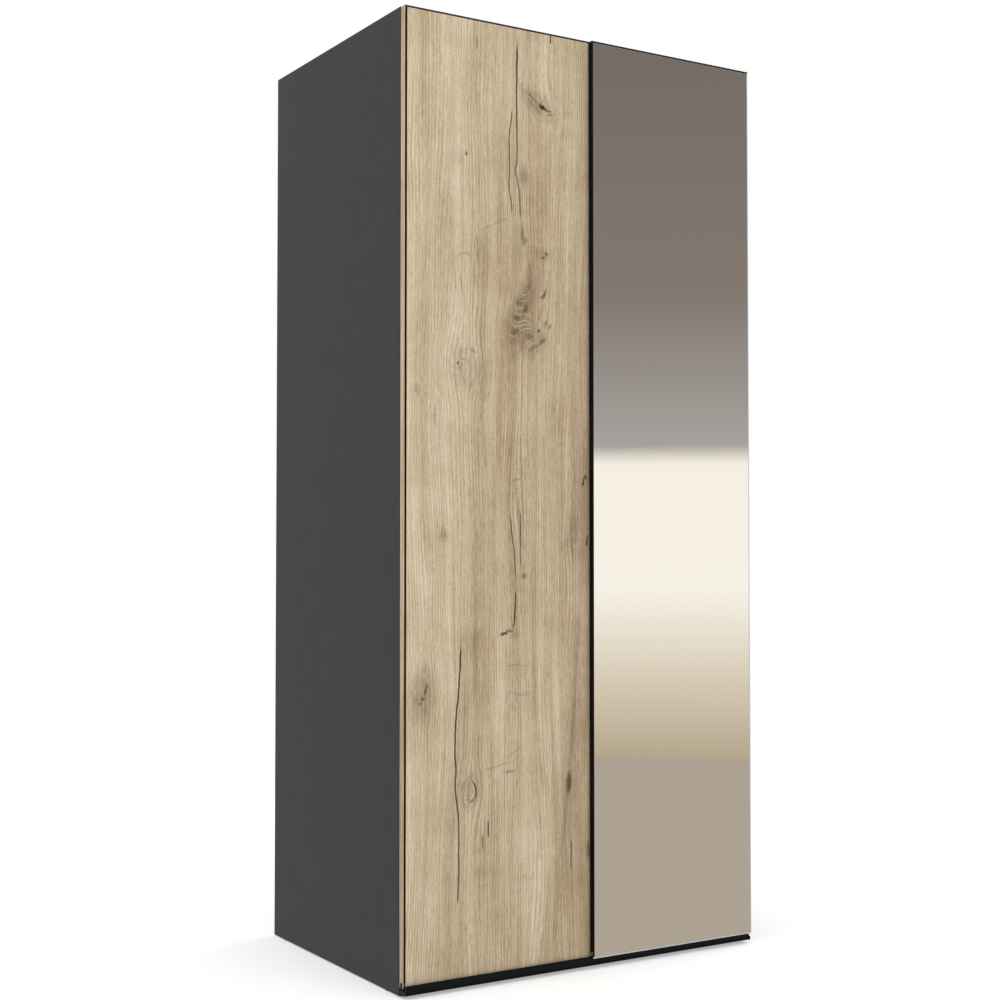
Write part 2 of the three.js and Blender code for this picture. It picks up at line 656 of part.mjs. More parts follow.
/** Middles of a door's two guide shoes. */
function shoePlaces(xLeft, xRight) {
  const reach = SHOE_INSET + SHOE_LENGTH / 2;
  return { left: xLeft + reach, right: xRight - reach };
}

/** Outline in (y, z) of a top trim: a cap over the door's edge and a tongue down into the board. */
function trimOutline([yFront, yEnd], yTongue, zTop) {
  const [near, far] = spread(yTongue, TRIM_TONGUE);
  const [zCap, zFoot] = [zTop - TOP_TRIM, zTop - TOP_TRIM - TONGUE_DEPTH];
  return outline(
    [yFront, zCap], [near, zCap], [near, zFoot], [far, zFoot], [far, zCap], [yEnd, zCap],
    [yEnd, zTop], [yFront, zTop],
  );
}

/** The groove in a board's top edge for that tongue. */
function trimGroove(across, yTongue, zTop) {
  const zFoot = zTop - TOP_TRIM - TONGUE_DEPTH - SEAT;
  return block(across, spread(yTongue, TRIM_TONGUE + 2 * SEAT), [zFoot, zTop + THROUGH]);
}

// ---------------------------------------------------------------------------
// Oak door
// ---------------------------------------------------------------------------

/** The board with its inlaid strip, top trim and bottom channel. */
function oakPanel() {
  const [xStrip, xStripEnd] = [xOakLeft + EDGE_BAND, xOakLeft + EDGE_BAND + INLAY_WIDTH];
  const zBoard = OAK_DOOR_LIFT + OAK_FLANGE + SEAT;
  const zBoardTop = zOakTop - TOP_TRIM - SEAT;
  const body = CHANNEL_SLOT / 2 + CHANNEL_WALL;
  const zChannel = zOakSlotRoof + CHANNEL_WALL;
  const thick = [yOakFace - THROUGH, yOakRear + THROUGH];
  const board = cut(
    block([xOakLeft, xOakRight], [yOakFace, yOakRear], [zBoard, zOakTop]),
    block([xStrip, xOakRight + THROUGH], thick, [zBoardTop, HEIGHT]),
    block([xStrip, xStripEnd], [yOakFace - THROUGH, yOakFace + INLAY_DEPTH], [0, HEIGHT]),
    block([-WIDTH, WIDTH], spread(yOakFin, 2 * (body + SEAT)), [0, zChannel + SEAT]),
    trimGroove([xStrip, xOakRight + THROUGH], yOakFin, zOakTop),
  );
  const strip = new THREE.Shape();
  const [a, b] = [xStrip + SEAT, xStripEnd - SEAT];
  strip.moveTo(a, yOakFace + INLAY_DEPTH - SEAT);
  strip.lineTo(a, yOakFace);
  strip.quadraticCurveTo((a + b) / 2, yOakFace + 2 * INLAY_HOLLOW, b, yOakFace);
  strip.lineTo(b, yOakFace + INLAY_DEPTH - SEAT);
  const slot = CHANNEL_SLOT / 2;
  const zFlange = OAK_DOOR_LIFT + OAK_FLANGE;
  const channel = outline(
    [yOakFace, OAK_DOOR_LIFT], [yOakFin - slot, OAK_DOOR_LIFT], [yOakFin - slot, zOakSlotRoof],
    [yOakFin + slot, zOakSlotRoof], [yOakFin + slot, OAK_DOOR_LIFT], [yOakRear, OAK_DOOR_LIFT],
    [yOakRear, zFlange], [yOakFin + body, zFlange], [yOakFin + body, zChannel],
    [yOakFin - body, zChannel], [yOakFin - body, zFlange], [yOakFace, zFlange],
  );
  const across = [xOakLeft, xOakRight];
  const trim = trimOutline([yOakFace, yOakRear], yOakFin, zOakTop);
  return [
    piece("oak_board", board, oak),
    piece("oak_inlay_strip", alongZ(strip, [zChannel + 2 * SEAT, zBoardTop]), blackAnodised),
    piece("oak_top_trim", alongX(trim, [xStrip + SEAT, xOakRight]), blackAnodised),
    piece("oak_bottom_channel", alongX(channel, across), blackAnodised),
  ];
}

/** A hanger of the oak door with its axle and roller. */
function oakHanger(word, x) {
  const yStrip = yOakRear + SEAT;
  const zTop = zOakTop - OAK_HANGER_DROP;
  const bridge = bridgeOutline(
    [yStrip, yStrip + OAK_HANGER_REACH], zTop, zTop - OAK_HANGER_HEIGHT, zTop - OAK_HANGER_LIP, OAK_STRIP,
  );
  const through = [yStrip - THROUGH, yStrip + OAK_STRIP + THROUGH];
  const plate = cut(
    alongX(bridge, spread(x, HANGER_WIDTH)),
    rivetHole(x, through),
    ...screwSlots(x, zAxle, through),
  );
  return [
    piece(`oak_hanger_${word}`, plate, steel),
    axle(`oak_axle_${word}`, x, [yStrip, yStrip + OAK_STRIP], yOakBead, false),
    roller(`oak_roller_${word}`, x, yOakBead),
  ];
}

function oakDoor() {
  const hangers = hangerPlaces(xOakLeft, xOakRight, 0, END_REVEAL);
  const shoes = shoePlaces(xOakLeft, xOakRight);
  return assembly(
    "oak_door",
    ...oakPanel(),
    ...["left", "right"].flatMap((word) => [
      ...oakHanger(word, hangers[word]),
      guideShoe(`oak_guide_shoe_${word}`, shoes[word], yOakFin, zOakSlotRoof),
    ]),
  );
}

// ---------------------------------------------------------------------------
// Mirror door
// ---------------------------------------------------------------------------

const yHangerLeg = yMirrorRear - MIRROR_STRIP; // front leg, let into the carrier board
const zHangerTop = zTongue + MIRROR_STRIP;
const mirrorHangers = hangerPlaces(xMirrorLeft, xMirrorRight, END_REVEAL, 0);

/** Recesses in the carrier board and the top trim where the hangers lie. */
function hangerRecesses() {
  const deep = [yHangerLeg - SEAT, yMirrorRear + THROUGH];
  const tall = [zHangerTop - MIRROR_HANGER_HEIGHT - SEAT, HEIGHT + THROUGH];
  return Object.values(mirrorHangers).map((x) => block(spread(x, HANGER_WIDTH + 2 * SEAT), deep, tall));
}

/** Carrier board, glass, and the profiles round them. */
function mirrorPanel() {
  const across = [xMirrorLeft + GRIP_WIDTH + SEAT, xMirrorRight - EDGE_TRIM - SEAT];
  const thick = [yMirrorBoard, yMirrorRear];
  const zTrim = zMirrorTop - TOP_TRIM;
  const zChannel = zMirrorSlotRoof + CHANNEL_WALL;
  const zLedge = MIRROR_DOOR_LIFT + GLASS_LEDGE;
  const slot = CHANNEL_SLOT / 2;
  const channel = outline(
    [yGlass, MIRROR_DOOR_LIFT], [yMirrorFin - slot, MIRROR_DOOR_LIFT],
    [yMirrorFin - slot, zMirrorSlotRoof], [yMirrorFin + slot, zMirrorSlotRoof],
    [yMirrorFin + slot, MIRROR_DOOR_LIFT], [yMirrorRear, MIRROR_DOOR_LIFT],
    [yMirrorRear, zChannel], [yMirrorBoard, zChannel], [yMirrorBoard, zLedge], [yGlass, zLedge],
  );
  const tall = [zLedge + SEAT, zTrim - SEAT];
  const grip = new THREE.Shape();
  grip.moveTo(xMirrorLeft, yGlass);
  grip.lineTo(xMirrorLeft + GRIP_WIDTH, yGlass);
  grip.lineTo(xMirrorLeft + GRIP_WIDTH, yMirrorRear);
  grip.lineTo(xMirrorLeft, yMirrorRear);
  grip.lineTo(xMirrorLeft, yMirrorRear - GRIP_LAND);
  const yGrip = (yGlass + yMirrorRear) / 2;
  grip.quadraticCurveTo(xMirrorLeft + 2 * GRIP_HOLLOW, yGrip, xMirrorLeft, yGlass + GRIP_LAND);
  const whole = [xMirrorLeft, xMirrorRight];
  const trim = alongX(trimOutline([yGlass, yMirrorRear], yMirrorFin, zMirrorTop), whole);
  const trimEnds = [[xMirrorLeft - THROUGH, across[0]], [across[1], xMirrorRight + THROUGH]].map((span) =>
    block(span, [yMirrorBoard, yMirrorRear], [zTrim - TONGUE_DEPTH - THROUGH, zTrim]),
  );
  const edge = block([xMirrorRight - EDGE_TRIM, xMirrorRight], [yGlass, yMirrorRear], tall);
  const channelSpan = [yMirrorBoard - SEAT, yMirrorRear + THROUGH];
  const overChannel = block([-WIDTH, WIDTH], channelSpan, [0, zChannel + SEAT]);
  const board = block(across, thick, [zChannel + SEAT, zTrim - SEAT]);
  const groove = trimGroove([-WIDTH, WIDTH], yMirrorFin, zMirrorTop);
  return [
    piece("mirror_board", cut(board, groove, ...hangerRecesses()), chipboard),
    piece("mirror_glass", block(across, [yGlass, yGlass + GLASS], [zLedge + SEAT, zTrim - SEAT]), mirror),
    piece("mirror_grip_profile", cut(alongZ(grip, tall), overChannel), blackAnodised),
    piece("mirror_edge_trim", cut(edge, overChannel), aluminium),
    piece("mirror_top_trim", cut(trim, ...trimEnds, ...hangerRecesses()), blackAnodised),
    piece("mirror_bottom_channel", alongX(channel, whole), aluminium),
  ];
}

/** A hanger that bridges the oak door, with its axle and roller. */
function mirrorHanger(word, x) {
  const yLeg = yMirrorBead - LEG_OFFSET - MIRROR_STRIP;
  const zFoot = zAxle - LEG_BELOW_AXLE;
  const bridge = bridgeOutline(
    [yHangerLeg, yLeg + MIRROR_STRIP], zHangerTop, zHangerTop - MIRROR_HANGER_HEIGHT, zFoot, MIRROR_STRIP,
  );
  const through = [yLeg - THROUGH, yLeg + MIRROR_STRIP + THROUGH];
  const throughFront = [yHangerLeg - THROUGH, yHangerLeg + MIRROR_STRIP + THROUGH];
  const zWaist = zHangerTop - 2 * (MIRROR_STRIP + BEND_RADIUS);
  const flanks = [-1, 1].map((side) => {
    const span = [x + (side * LEG_WIDTH) / 2, x + side * HANGER_WIDTH].sort((a, b) => a - b);
    return block(span, through, [zFoot - THROUGH, zWaist]);
  });
  const plate = cut(
    alongX(bridge, spread(x, HANGER_WIDTH)),
    rivetHole(x, through),
    ...flanks,
    ...screwSlots(x, zAxle, throughFront),
  );
  return [
    piece(`mirror_hanger_${word}`, plate, steel),
    axle(`mirror_axle_${word}`, x, [yLeg, yLeg + MIRROR_STRIP], yMirrorBead, true),
    roller(`mirror_roller_${word}`, x, yMirrorBead),
  ];
}

function mirrorDoor() {
  const shoes = shoePlaces(xMirrorLeft + GRIP_WIDTH, xMirrorRight - EDGE_TRIM);
  return assembly(
    "mirror_door",
    ...mirrorPanel(),
    ...["left", "right"].flatMap((word) => [
      ...mirrorHanger(word, mirrorHangers[word]),
      guideShoe(`mirror_guide_shoe_${word}`, shoes[word], yMirrorFin, zMirrorSlotRoof),
    ]),
  );
}

// ---------------------------------------------------------------------------
// The wardrobe
// ---------------------------------------------------------------------------

const carcass = assembly(
  "carcass",
  sidePanel("side_panel_left", -1, SHELF_STEPS),
  sidePanel("side_panel_right", 1, HAT_SHELF_STEPS),
  partition(),
  ...horizontals(),
  ...backPanels(),
  ...SHELF_STEPS.map((step, i) => shelf(`shelf_${i + 1}`, leftBay, step)),
  shelf("hat_shelf", rightBay, HAT_SHELF_STEPS[0]),
  ...clothesRail(),
  ...floorGlides(),
  topTrack(),
  ...endStop("left", -1),
  ...endStop("right", 1),
  bottomGuide(),
);

export default assembly("wardrobe", carcass, oakDoor(), mirrorDoor());
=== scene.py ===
"""A wardrobe with two sliding doors: its finished look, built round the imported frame.

Lengths are metres in the row frame unless a name or a comment says millimetres. X runs along the
width, -Y is the front, Z is up, and the origin is on the floor at the middle of the footprint.
"""

import logging
import math
from collections.abc import Iterable
from dataclasses import dataclass
from enum import Enum

import bmesh
import bpy
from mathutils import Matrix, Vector


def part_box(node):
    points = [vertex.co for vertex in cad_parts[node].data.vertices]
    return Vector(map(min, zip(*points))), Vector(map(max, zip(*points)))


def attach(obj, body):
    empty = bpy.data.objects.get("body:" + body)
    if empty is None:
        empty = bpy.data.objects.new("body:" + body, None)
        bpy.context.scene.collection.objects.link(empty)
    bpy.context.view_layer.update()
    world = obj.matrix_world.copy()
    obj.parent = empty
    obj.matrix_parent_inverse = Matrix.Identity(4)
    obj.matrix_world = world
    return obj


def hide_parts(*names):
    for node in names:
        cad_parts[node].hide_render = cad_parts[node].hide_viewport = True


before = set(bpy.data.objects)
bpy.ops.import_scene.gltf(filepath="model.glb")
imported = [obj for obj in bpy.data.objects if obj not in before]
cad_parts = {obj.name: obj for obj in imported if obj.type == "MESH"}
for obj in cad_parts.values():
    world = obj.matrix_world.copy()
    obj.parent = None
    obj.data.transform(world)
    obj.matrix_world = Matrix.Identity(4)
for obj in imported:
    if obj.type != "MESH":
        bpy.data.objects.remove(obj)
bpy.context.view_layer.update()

LOG = logging.getLogger("wardrobe")
MM = 0.001
WELD = 1e-6  # metres within which two vertices are one
EDGE_STEPS = 3  # facets across a rounded edge
FLAT_BELOW = math.radians(1.0)  # faces that meet at less than this are one face
SHARP_ABOVE = math.radians(50.0)  # edges sharper than this are rounded
SMOOTH_BELOW = math.radians(32.0)  # edges shallower than this shade as round
FAINTEST, STRONGEST = 0.3, 0.7  # values that a noise mostly lies between

Span = tuple[float, float]
Point = tuple[float, float, float]
Profile = tuple[tuple[float, float], ...]


class Body(Enum):
    """The moving bodies of the frame that new pieces ride on."""

    CARCASS = "carcass"
    OAK_DOOR = "oak_door"
    MIRROR_DOOR = "mirror_door"


class Side(Enum):
    """Left and right as seen from the front."""

    LEFT = "left"
    RIGHT = "right"


class Axis(Enum):
    """Directions that a grain, a brushing or a turning axis runs along."""

    X = (1.0, 0.0, 0.0)
    Y = (0.0, 1.0, 0.0)
    Z = (0.0, 0.0, 1.0)


# --------------------------------------------------------------------------------------------
# Materials
# --------------------------------------------------------------------------------------------


def linear(hex_colour: str) -> tuple[float, float, float, float]:
    """Turns an sRGB hex colour to linear light.

    Args:
        hex_colour: six hex digits, red first.

    Returns:
        Red, green, blue and an alpha of 1.
    """
    shares = (int(hex_colour[i : i + 2], 16) / 255 for i in (0, 2, 4))
    red, green, blue = (s / 12.92 if s <= 0.04045 else ((s + 0.055) / 1.055) ** 2.4 for s in shares)
    return red, green, blue, 1.0


MIX_A, MIX_B = 6, 7  # colour sockets of a Mix node
MIXED = {"out": 2, "data_type": "RGBA"}  # a Mix node that mixes colours

# A smooth step stays between its ends by itself. Its clamp is off because Cycles makes a node of
# its own for each, which keeps all of them waiting in the shader.
SMOOTH = {"interpolation_type": "SMOOTHSTEP", "clamp": False}


class Nodes:
    """A node tree."""

    def __init__(self, owner: bpy.types.Material | bpy.types.World, shader: str) -> None:
        """Takes up the tree of a material or a world.

        Args:
            owner: the material or the world.
            shader: the name of its shader node.
        """
        owner.use_nodes = True
        self.tree = owner.node_tree
        self.shader = self.tree.nodes[shader]

    def add(
        self,
        kind: str,
        inputs: dict | None = None,
        out: int | str = 0,
        stops: Iterable[tuple[float, object]] = (),
        **settings: object,
    ) -> bpy.types.NodeSocket:
        """Adds a node with its settings and links.

        Args:
            kind: Blender's name of the node, after "ShaderNode".
            inputs: what each input socket takes: a value, or an output socket to link.
            out: the output socket to hand back.
            stops: the stops of a colour ramp as (place, hex colour), or of a curve as (x, y).
            **settings: the node's own properties.

        Returns:
            The output socket.
        """
        node = self.tree.nodes.new("ShaderNode" + kind)
        for key, value in settings.items():
            setattr(node, key, value)
        for key, value in (inputs or {}).items():
            if isinstance(value, bpy.types.NodeSocket):
                self.tree.links.new(value, node.inputs[key])
            else:
                node.inputs[key].default_value = value
        for number, (at, value) in enumerate(stops):
            if kind == "ValToRGB":
                row = node.color_ramp.elements
                stop = row[number] if number < len(row) else row.new(at)
                stop.position, stop.color = at, linear(value)
            else:
                row = node.mapping.curves[0].points
                if number < len(row):
                    row[number].location = (at, value)
                else:
                    row.new(at, value)
        if stops and kind != "ValToRGB":
            node.mapping.update()
        return node.outputs[out]

    def feed(self, **sockets: object) -> None:
        """Sets or links the shader's sockets.

        Args:
            **sockets: a value or an output for each socket, named with underscores for spaces.
        """
        for key, value in sockets.items():
            socket = self.shader.inputs[key.replace("_", " ")]
            if isinstance(value, bpy.types.NodeSocket):
                self.tree.links.new(value, socket)
            else:
                socket.default_value = value


class Graph(Nodes):
    """A material's node tree, with the place on the piece in millimetres."""

    def __init__(self, name: str) -> None:
        """Starts a material with a Principled shader.

        Args:
            name: the material's name.
        """
        self.material = bpy.data.materials.new(name)
        super().__init__(self.material, "Principled BSDF")
        place = self.add("TexCoord", out="Object")
        self.place = self.add("VectorMath", {0: place, "Scale": 1 / MM}, operation="SCALE")
        self.x = self.add("SeparateXYZ", {0: self.place}, out=0)
        self.y = self.add("SeparateXYZ", {0: self.place}, out=1)
        self.z = self.add("SeparateXYZ", {0: self.place}, out=2)

    def grains(self, sizes: Point, detail: float = 2.0, roughness: float = 0.5) -> dict:
        """What a noise texture's inputs take for grains of a real size.

        Args:
            sizes: the grains' sizes in millimetres along X, Y and Z.
            detail: how many finer layers the noise has.
            roughness: how strong the finer layers are.

        Returns:
            The inputs, by name.
        """
        scaled = self.add("VectorMath", {0: self.place, 1: sizes}, operation="DIVIDE")
        return {"Vector": scaled, "Scale": 1.0, "Detail": detail, "Roughness": roughness}


@dataclass(frozen=True)
class Finish:
    """What a piece is made of and how its surface was made."""

    name: str
    slot: str

    def dress(self, graph: Graph) -> None:
        """Fills the node tree, which each kind of finish does its own way."""
        raise NotImplementedError

    def material(self) -> bpy.types.Material:
        """The finish as a material, made once.

        Returns:
            The material.
        """
        found = bpy.data.materials.get(self.name)
        if found is None:
            graph = Graph(self.name)
            self.dress(graph)
            found = graph.material
        return found


@dataclass(frozen=True)
class TwoTone(Finish):
    """A finish that wavers between two tones of one colour."""

    tone: str
    darker: str

    def tones(self, graph: Graph, share: bpy.types.NodeSocket) -> bpy.types.NodeSocket:
        """The two tones mixed.

        Args:
            graph: the node tree.
            share: how much of the lighter tone shows.

        Returns:
            The colour.
        """
        mixed = {0: share, MIX_A: linear(self.darker), MIX_B: linear(self.tone)}
        return graph.add("Mix", mixed, **MIXED)


@dataclass(frozen=True)
class Melamine(TwoTone):
    """Resin-soaked decor paper pressed on chipboard between textured plates: matt, faintly pearled."""

    tone: str = "343535"
    darker: str = "2F3030"
    pearl_mm: float = 1.6  # grain of the pressed texture; the real one is finer, drawn to show
    cloud_mm: float = 45.0
    rough: Span = (0.56, 0.68)
    gloss: float = 0.2
    relief_mm: float = 0.04
    relief: float = 0.5  # how strongly the relief shows
    mottle: Span = (0.7, 1.3)  # sums of both noises that give the darker and the lighter tone

    def dress(self, graph: Graph) -> None:
        """A nearly even tone with a fine mottle, and the pressed texture as relief.

        Args:
            graph: the node tree to fill.
        """
        cloud = graph.add("TexNoise", graph.grains((self.cloud_mm,) * 3, 3.0))
        pearl = graph.add("TexNoise", graph.grains((self.pearl_mm,) * 3, 1.0))
        both = graph.add("Math", {0: pearl, 1: cloud}, operation="ADD")
        share = graph.add("MapRange", {"Value": both, "From Min": self.mottle[0], "From Max": self.mottle[1]})
        rough = graph.add("MapRange", {"Value": pearl, "To Min": self.rough[0], "To Max": self.rough[1]})
        graph.feed(
            Base_Color=self.tones(graph, share),
            Roughness=rough,
            Specular_IOR_Level=self.gloss,
        )
        bump = {"Strength": self.relief, "Distance": self.relief_mm * MM, "Height": pearl}
        graph.feed(Normal=graph.add("Bump", bump))


@dataclass(frozen=True)
class Anodised(TwoTone):
    """Extruded aluminium, brushed along its length and anodised: satin, with hairlines."""

    tone: str = "C4C6C8"
    darker: str = "B4B6B9"
    along: Axis = Axis.X
    roughness: float = 0.32
    bare: float = 1.0  # share of bare metal; the rest is a milky oxide
    line_long: float = 400.0  # mm, a hairline's length and width; the real ones are finer
    line_wide: float = 0.6
    relief_mm: float = 0.01
    relief: float = 0.4  # how strongly the relief shows
    dark_until: float | None = None  # X in mm up to which it is black
    dark: str = "1A1B1D"
    swing: Span = (0.06, 0.08)  # how far the roughness falls and rises along the hairlines

    def dress(self, graph: Graph) -> None:
        """Hairlines drawn out along the profile, in tone, roughness and relief.

        Args:
            graph: the node tree to fill.
        """
        sizes = tuple(self.line_long if share else self.line_wide for share in self.along.value)
        lines = graph.add("TexNoise", graph.grains(sizes, 2.0, 0.6))
        share = graph.add("MapRange", {"Value": lines, "From Min": FAINTEST, "From Max": STRONGEST})
        low, high = self.roughness - self.swing[0], self.roughness + self.swing[1]
        rough = graph.add("MapRange", {"Value": lines, "To Min": low, "To Max": high})
        tone = self.tones(graph, share)
        if self.dark_until is not None:
            capped = graph.add("Math", {0: graph.x, 1: self.dark_until}, operation="LESS_THAN")
            tone = graph.add("Mix", {0: capped, MIX_A: tone, MIX_B: linear(self.dark)}, **MIXED)
        graph.feed(Base_Color=tone, Metallic=self.bare, Roughness=rough)
        bump = {"Strength": self.relief, "Distance": self.relief_mm * MM, "Height": lines}
        graph.feed(Normal=graph.add("Bump", bump))


@dataclass(frozen=True)
class ZincPlated(TwoTone):
    """Pressed steel with bright zinc plating: grey metal with a soft, cloudy spangle."""

    tone: str = "B3B5B6"
    darker: str = "95989B"
    spangle_mm: float = 5.0
    rough: Span = (0.28, 0.44)
    rolling_mm: Point = (0.5, 0.5, 8.0)
    relief_mm: float = 0.01
    relief: float = 0.3  # how strongly the relief shows

    def dress(self, graph: Graph) -> None:
        """A cloudy tone and roughness with fine rolling marks.

        Args:
            graph: the node tree to fill.
        """
        cloud = graph.add("TexNoise", graph.grains((self.spangle_mm,) * 3, 3.0))
        share = graph.add("MapRange", {"Value": cloud, "From Min": FAINTEST, "From Max": STRONGEST})
        rough = graph.add("MapRange", {"Value": cloud, "To Min": self.rough[0], "To Max": self.rough[1]})
        graph.feed(
            Base_Color=self.tones(graph, share),
            Metallic=1.0,
            Roughness=rough,
        )
        marks = graph.add("TexNoise", graph.grains(self.rolling_mm, 1.0))
        bump = {"Strength": self.relief, "Distance": self.relief_mm * MM, "Height": marks}
        graph.feed(Normal=graph.add("Bump", bump))


@dataclass(frozen=True)
class Moulded(TwoTone):
    """Injection-moulded plastic or rubber with a spark-eroded tool texture."""

    tone: str = "E4E1D8"
    darker: str = "D8D4C9"
    grit_mm: float = 0.7
    roughness: float = 0.48
    ior: float = 1.5
    gloss: float = 0.5
    flow_mm: float = 18.0  # clouds left by the melt as it flows
    swing: float = 0.06  # how far the roughness varies with the grit
    relief_mm: float = 0.03
    relief: float = 0.5  # how strongly the relief shows

    def dress(self, graph: Graph) -> None:
        """A fine grit in tone, roughness and relief.

        Args:
            graph: the node tree to fill.
        """
        grit = graph.add("TexNoise", graph.grains((self.grit_mm,) * 3, 2.0))
        flow = graph.add("TexNoise", graph.grains((self.flow_mm,) * 3, 2.0))
        share = graph.add("MapRange", {"Value": flow, "From Min": FAINTEST, "From Max": STRONGEST})
        low, high = self.roughness - self.swing, self.roughness + self.swing
        rough = graph.add("MapRange", {"Value": grit, "To Min": low, "To Max": high})
        graph.feed(
            Base_Color=self.tones(graph, share),
            Roughness=rough,
            IOR=self.ior,
            Specular_IOR_Level=self.gloss,
        )
        bump = {"Strength": self.relief, "Distance": self.relief_mm * MM, "Height": grit}
        graph.feed(Normal=graph.add("Bump", bump))


@dataclass(frozen=True)
class Fibreboard(Finish):
    """Thin hardboard: lacquered on the side that faces the clothes, raw brown fibres behind."""

    rear_from_mm: float = 0.0  # Y past which the raw side shows
    front: str = "474849"
    raw: str = "836B52"
    raw_dark: str = "75604A"
    fibre_mm: Point = (2.6, 2.6, 1.1)
    cloud_mm: float = 160.0
    lacquer_rough: float = 0.5
    raw_rough: float = 0.85
    relief_mm: float = 0.08
    relief: float = 0.5  # how strongly the relief shows
    cloudiness: float = 0.3  # weight of the clouds beside the fibres
    shades: Span = (0.45, 0.85)  # values that give the darker and the lighter brown

    def dress(self, graph: Graph) -> None:
        """Chooses the side by its place in Y, and strews fibres over the raw one.

        Args:
            graph: the node tree to fill.
        """
        fibres = graph.add("TexNoise", graph.grains(self.fibre_mm, 4.0, 0.75))
        cloud = graph.add("TexNoise", graph.grains((self.cloud_mm,) * 3, 2.0))
        both = graph.add("Math", {0: cloud, 1: self.cloudiness, 2: fibres}, operation="MULTIPLY_ADD")
        share = graph.add("MapRange", {"Value": both, "From Min": self.shades[0], "From Max": self.shades[1]})
        brown = graph.add("Mix", {0: share, MIX_A: linear(self.raw_dark), MIX_B: linear(self.raw)}, **MIXED)
        behind = graph.add("Math", {0: graph.y, 1: self.rear_from_mm}, operation="GREATER_THAN")
        rough = graph.add(
            "MapRange", {"Value": behind, "To Min": self.lacquer_rough, "To Max": self.raw_rough}
        )
        tone = graph.add("Mix", {0: behind, MIX_A: linear(self.front), MIX_B: brown}, **MIXED)
        graph.feed(Base_Color=tone, Roughness=rough)
        bump = {"Strength": self.relief, "Distance": self.relief_mm * MM, "Height": fibres}
        graph.feed(Normal=graph.add("Bump", bump))


@dataclass(frozen=True)
class SilveredGlass(Finish):
    """Float glass silvered behind: a mirror in front, green at its ground edges, painted behind."""

    front_mm: float = 0.0  # Y of the polished face
    back_mm: float = 0.0  # Y of the silvered face
    silver: str = "F6F4F1"
    edge: str = "5E7C70"
    paint: str = "6B6E70"
    polished_depth: float = 0.05  # mm behind the front face where the ground edge starts
    paint_depth: float = 0.2  # mm before the silvered face where the paint shows
    haze_mm: Point = (120.0, 120.0, 160.0)
    haze: float = 0.004  # roughest place of the mirror
    ground_rough: float = 0.35

    def dress(self, graph: Graph) -> None:
        """Chooses mirror, ground edge or backing paint by its place in Y.

        Args:
            graph: the node tree to fill.
        """
        paint_from = self.back_mm - self.paint_depth
        ground_from = self.front_mm + self.polished_depth
        behind = graph.add("Math", {0: graph.y, 1: paint_from}, operation="GREATER_THAN")
        ground = graph.add("Math", {0: graph.y, 1: ground_from}, operation="GREATER_THAN")
        haze = graph.add("TexNoise", graph.grains(self.haze_mm, 2.0))
        clear = graph.add("MapRange", {"Value": haze, "To Min": 0.0, "To Max": self.haze})
        other = graph.add("Mix", {0: behind, MIX_A: linear(self.edge), MIX_B: linear(self.paint)}, **MIXED)
        metal = graph.add("Math", {0: 1.0, 1: ground}, operation="SUBTRACT")
        rough = graph.add("MapRange", {"Value": ground, "To Min": clear, "To Max": self.ground_rough})
        graph.feed(
            Base_Color=graph.add("Mix", {0: ground, MIX_A: linear(self.silver), MIX_B: other}, **MIXED),
            Metallic=metal,
            Roughness=rough,
        )


@dataclass(frozen=True)
class Crack:
    """A drying crack in the oak decor: points (x, z) in mm down its length."""

    path: tuple[tuple[float, float], ...]
    width: float = 2.2
    dark: float = 1.0  # at its upper end
    foot: float = 1.0  # share of that left at its lower end
    soft: float = 1.6  # mm over which its sides fade
    taper: float = 40.0  # mm over which its ends fade
    crosswise: bool = False  # its path runs across the door, not down it


@dataclass(frozen=True)
class Knot:
    """A knot or stain in the oak decor: its middle and half axes in mm, and how it shows."""

    x: float
    z: float
    wide: float
    tall: float
    tilt: float = 0.0  # degrees, anticlockwise seen from the front
    dark: float = 0.6
    halo: float = 0.35  # brown stain round it, out to twice its size
    bow: float = 0.0  # mm by which the grain bends aside
    rings: float = 0.0  # how strongly growth lines show round it


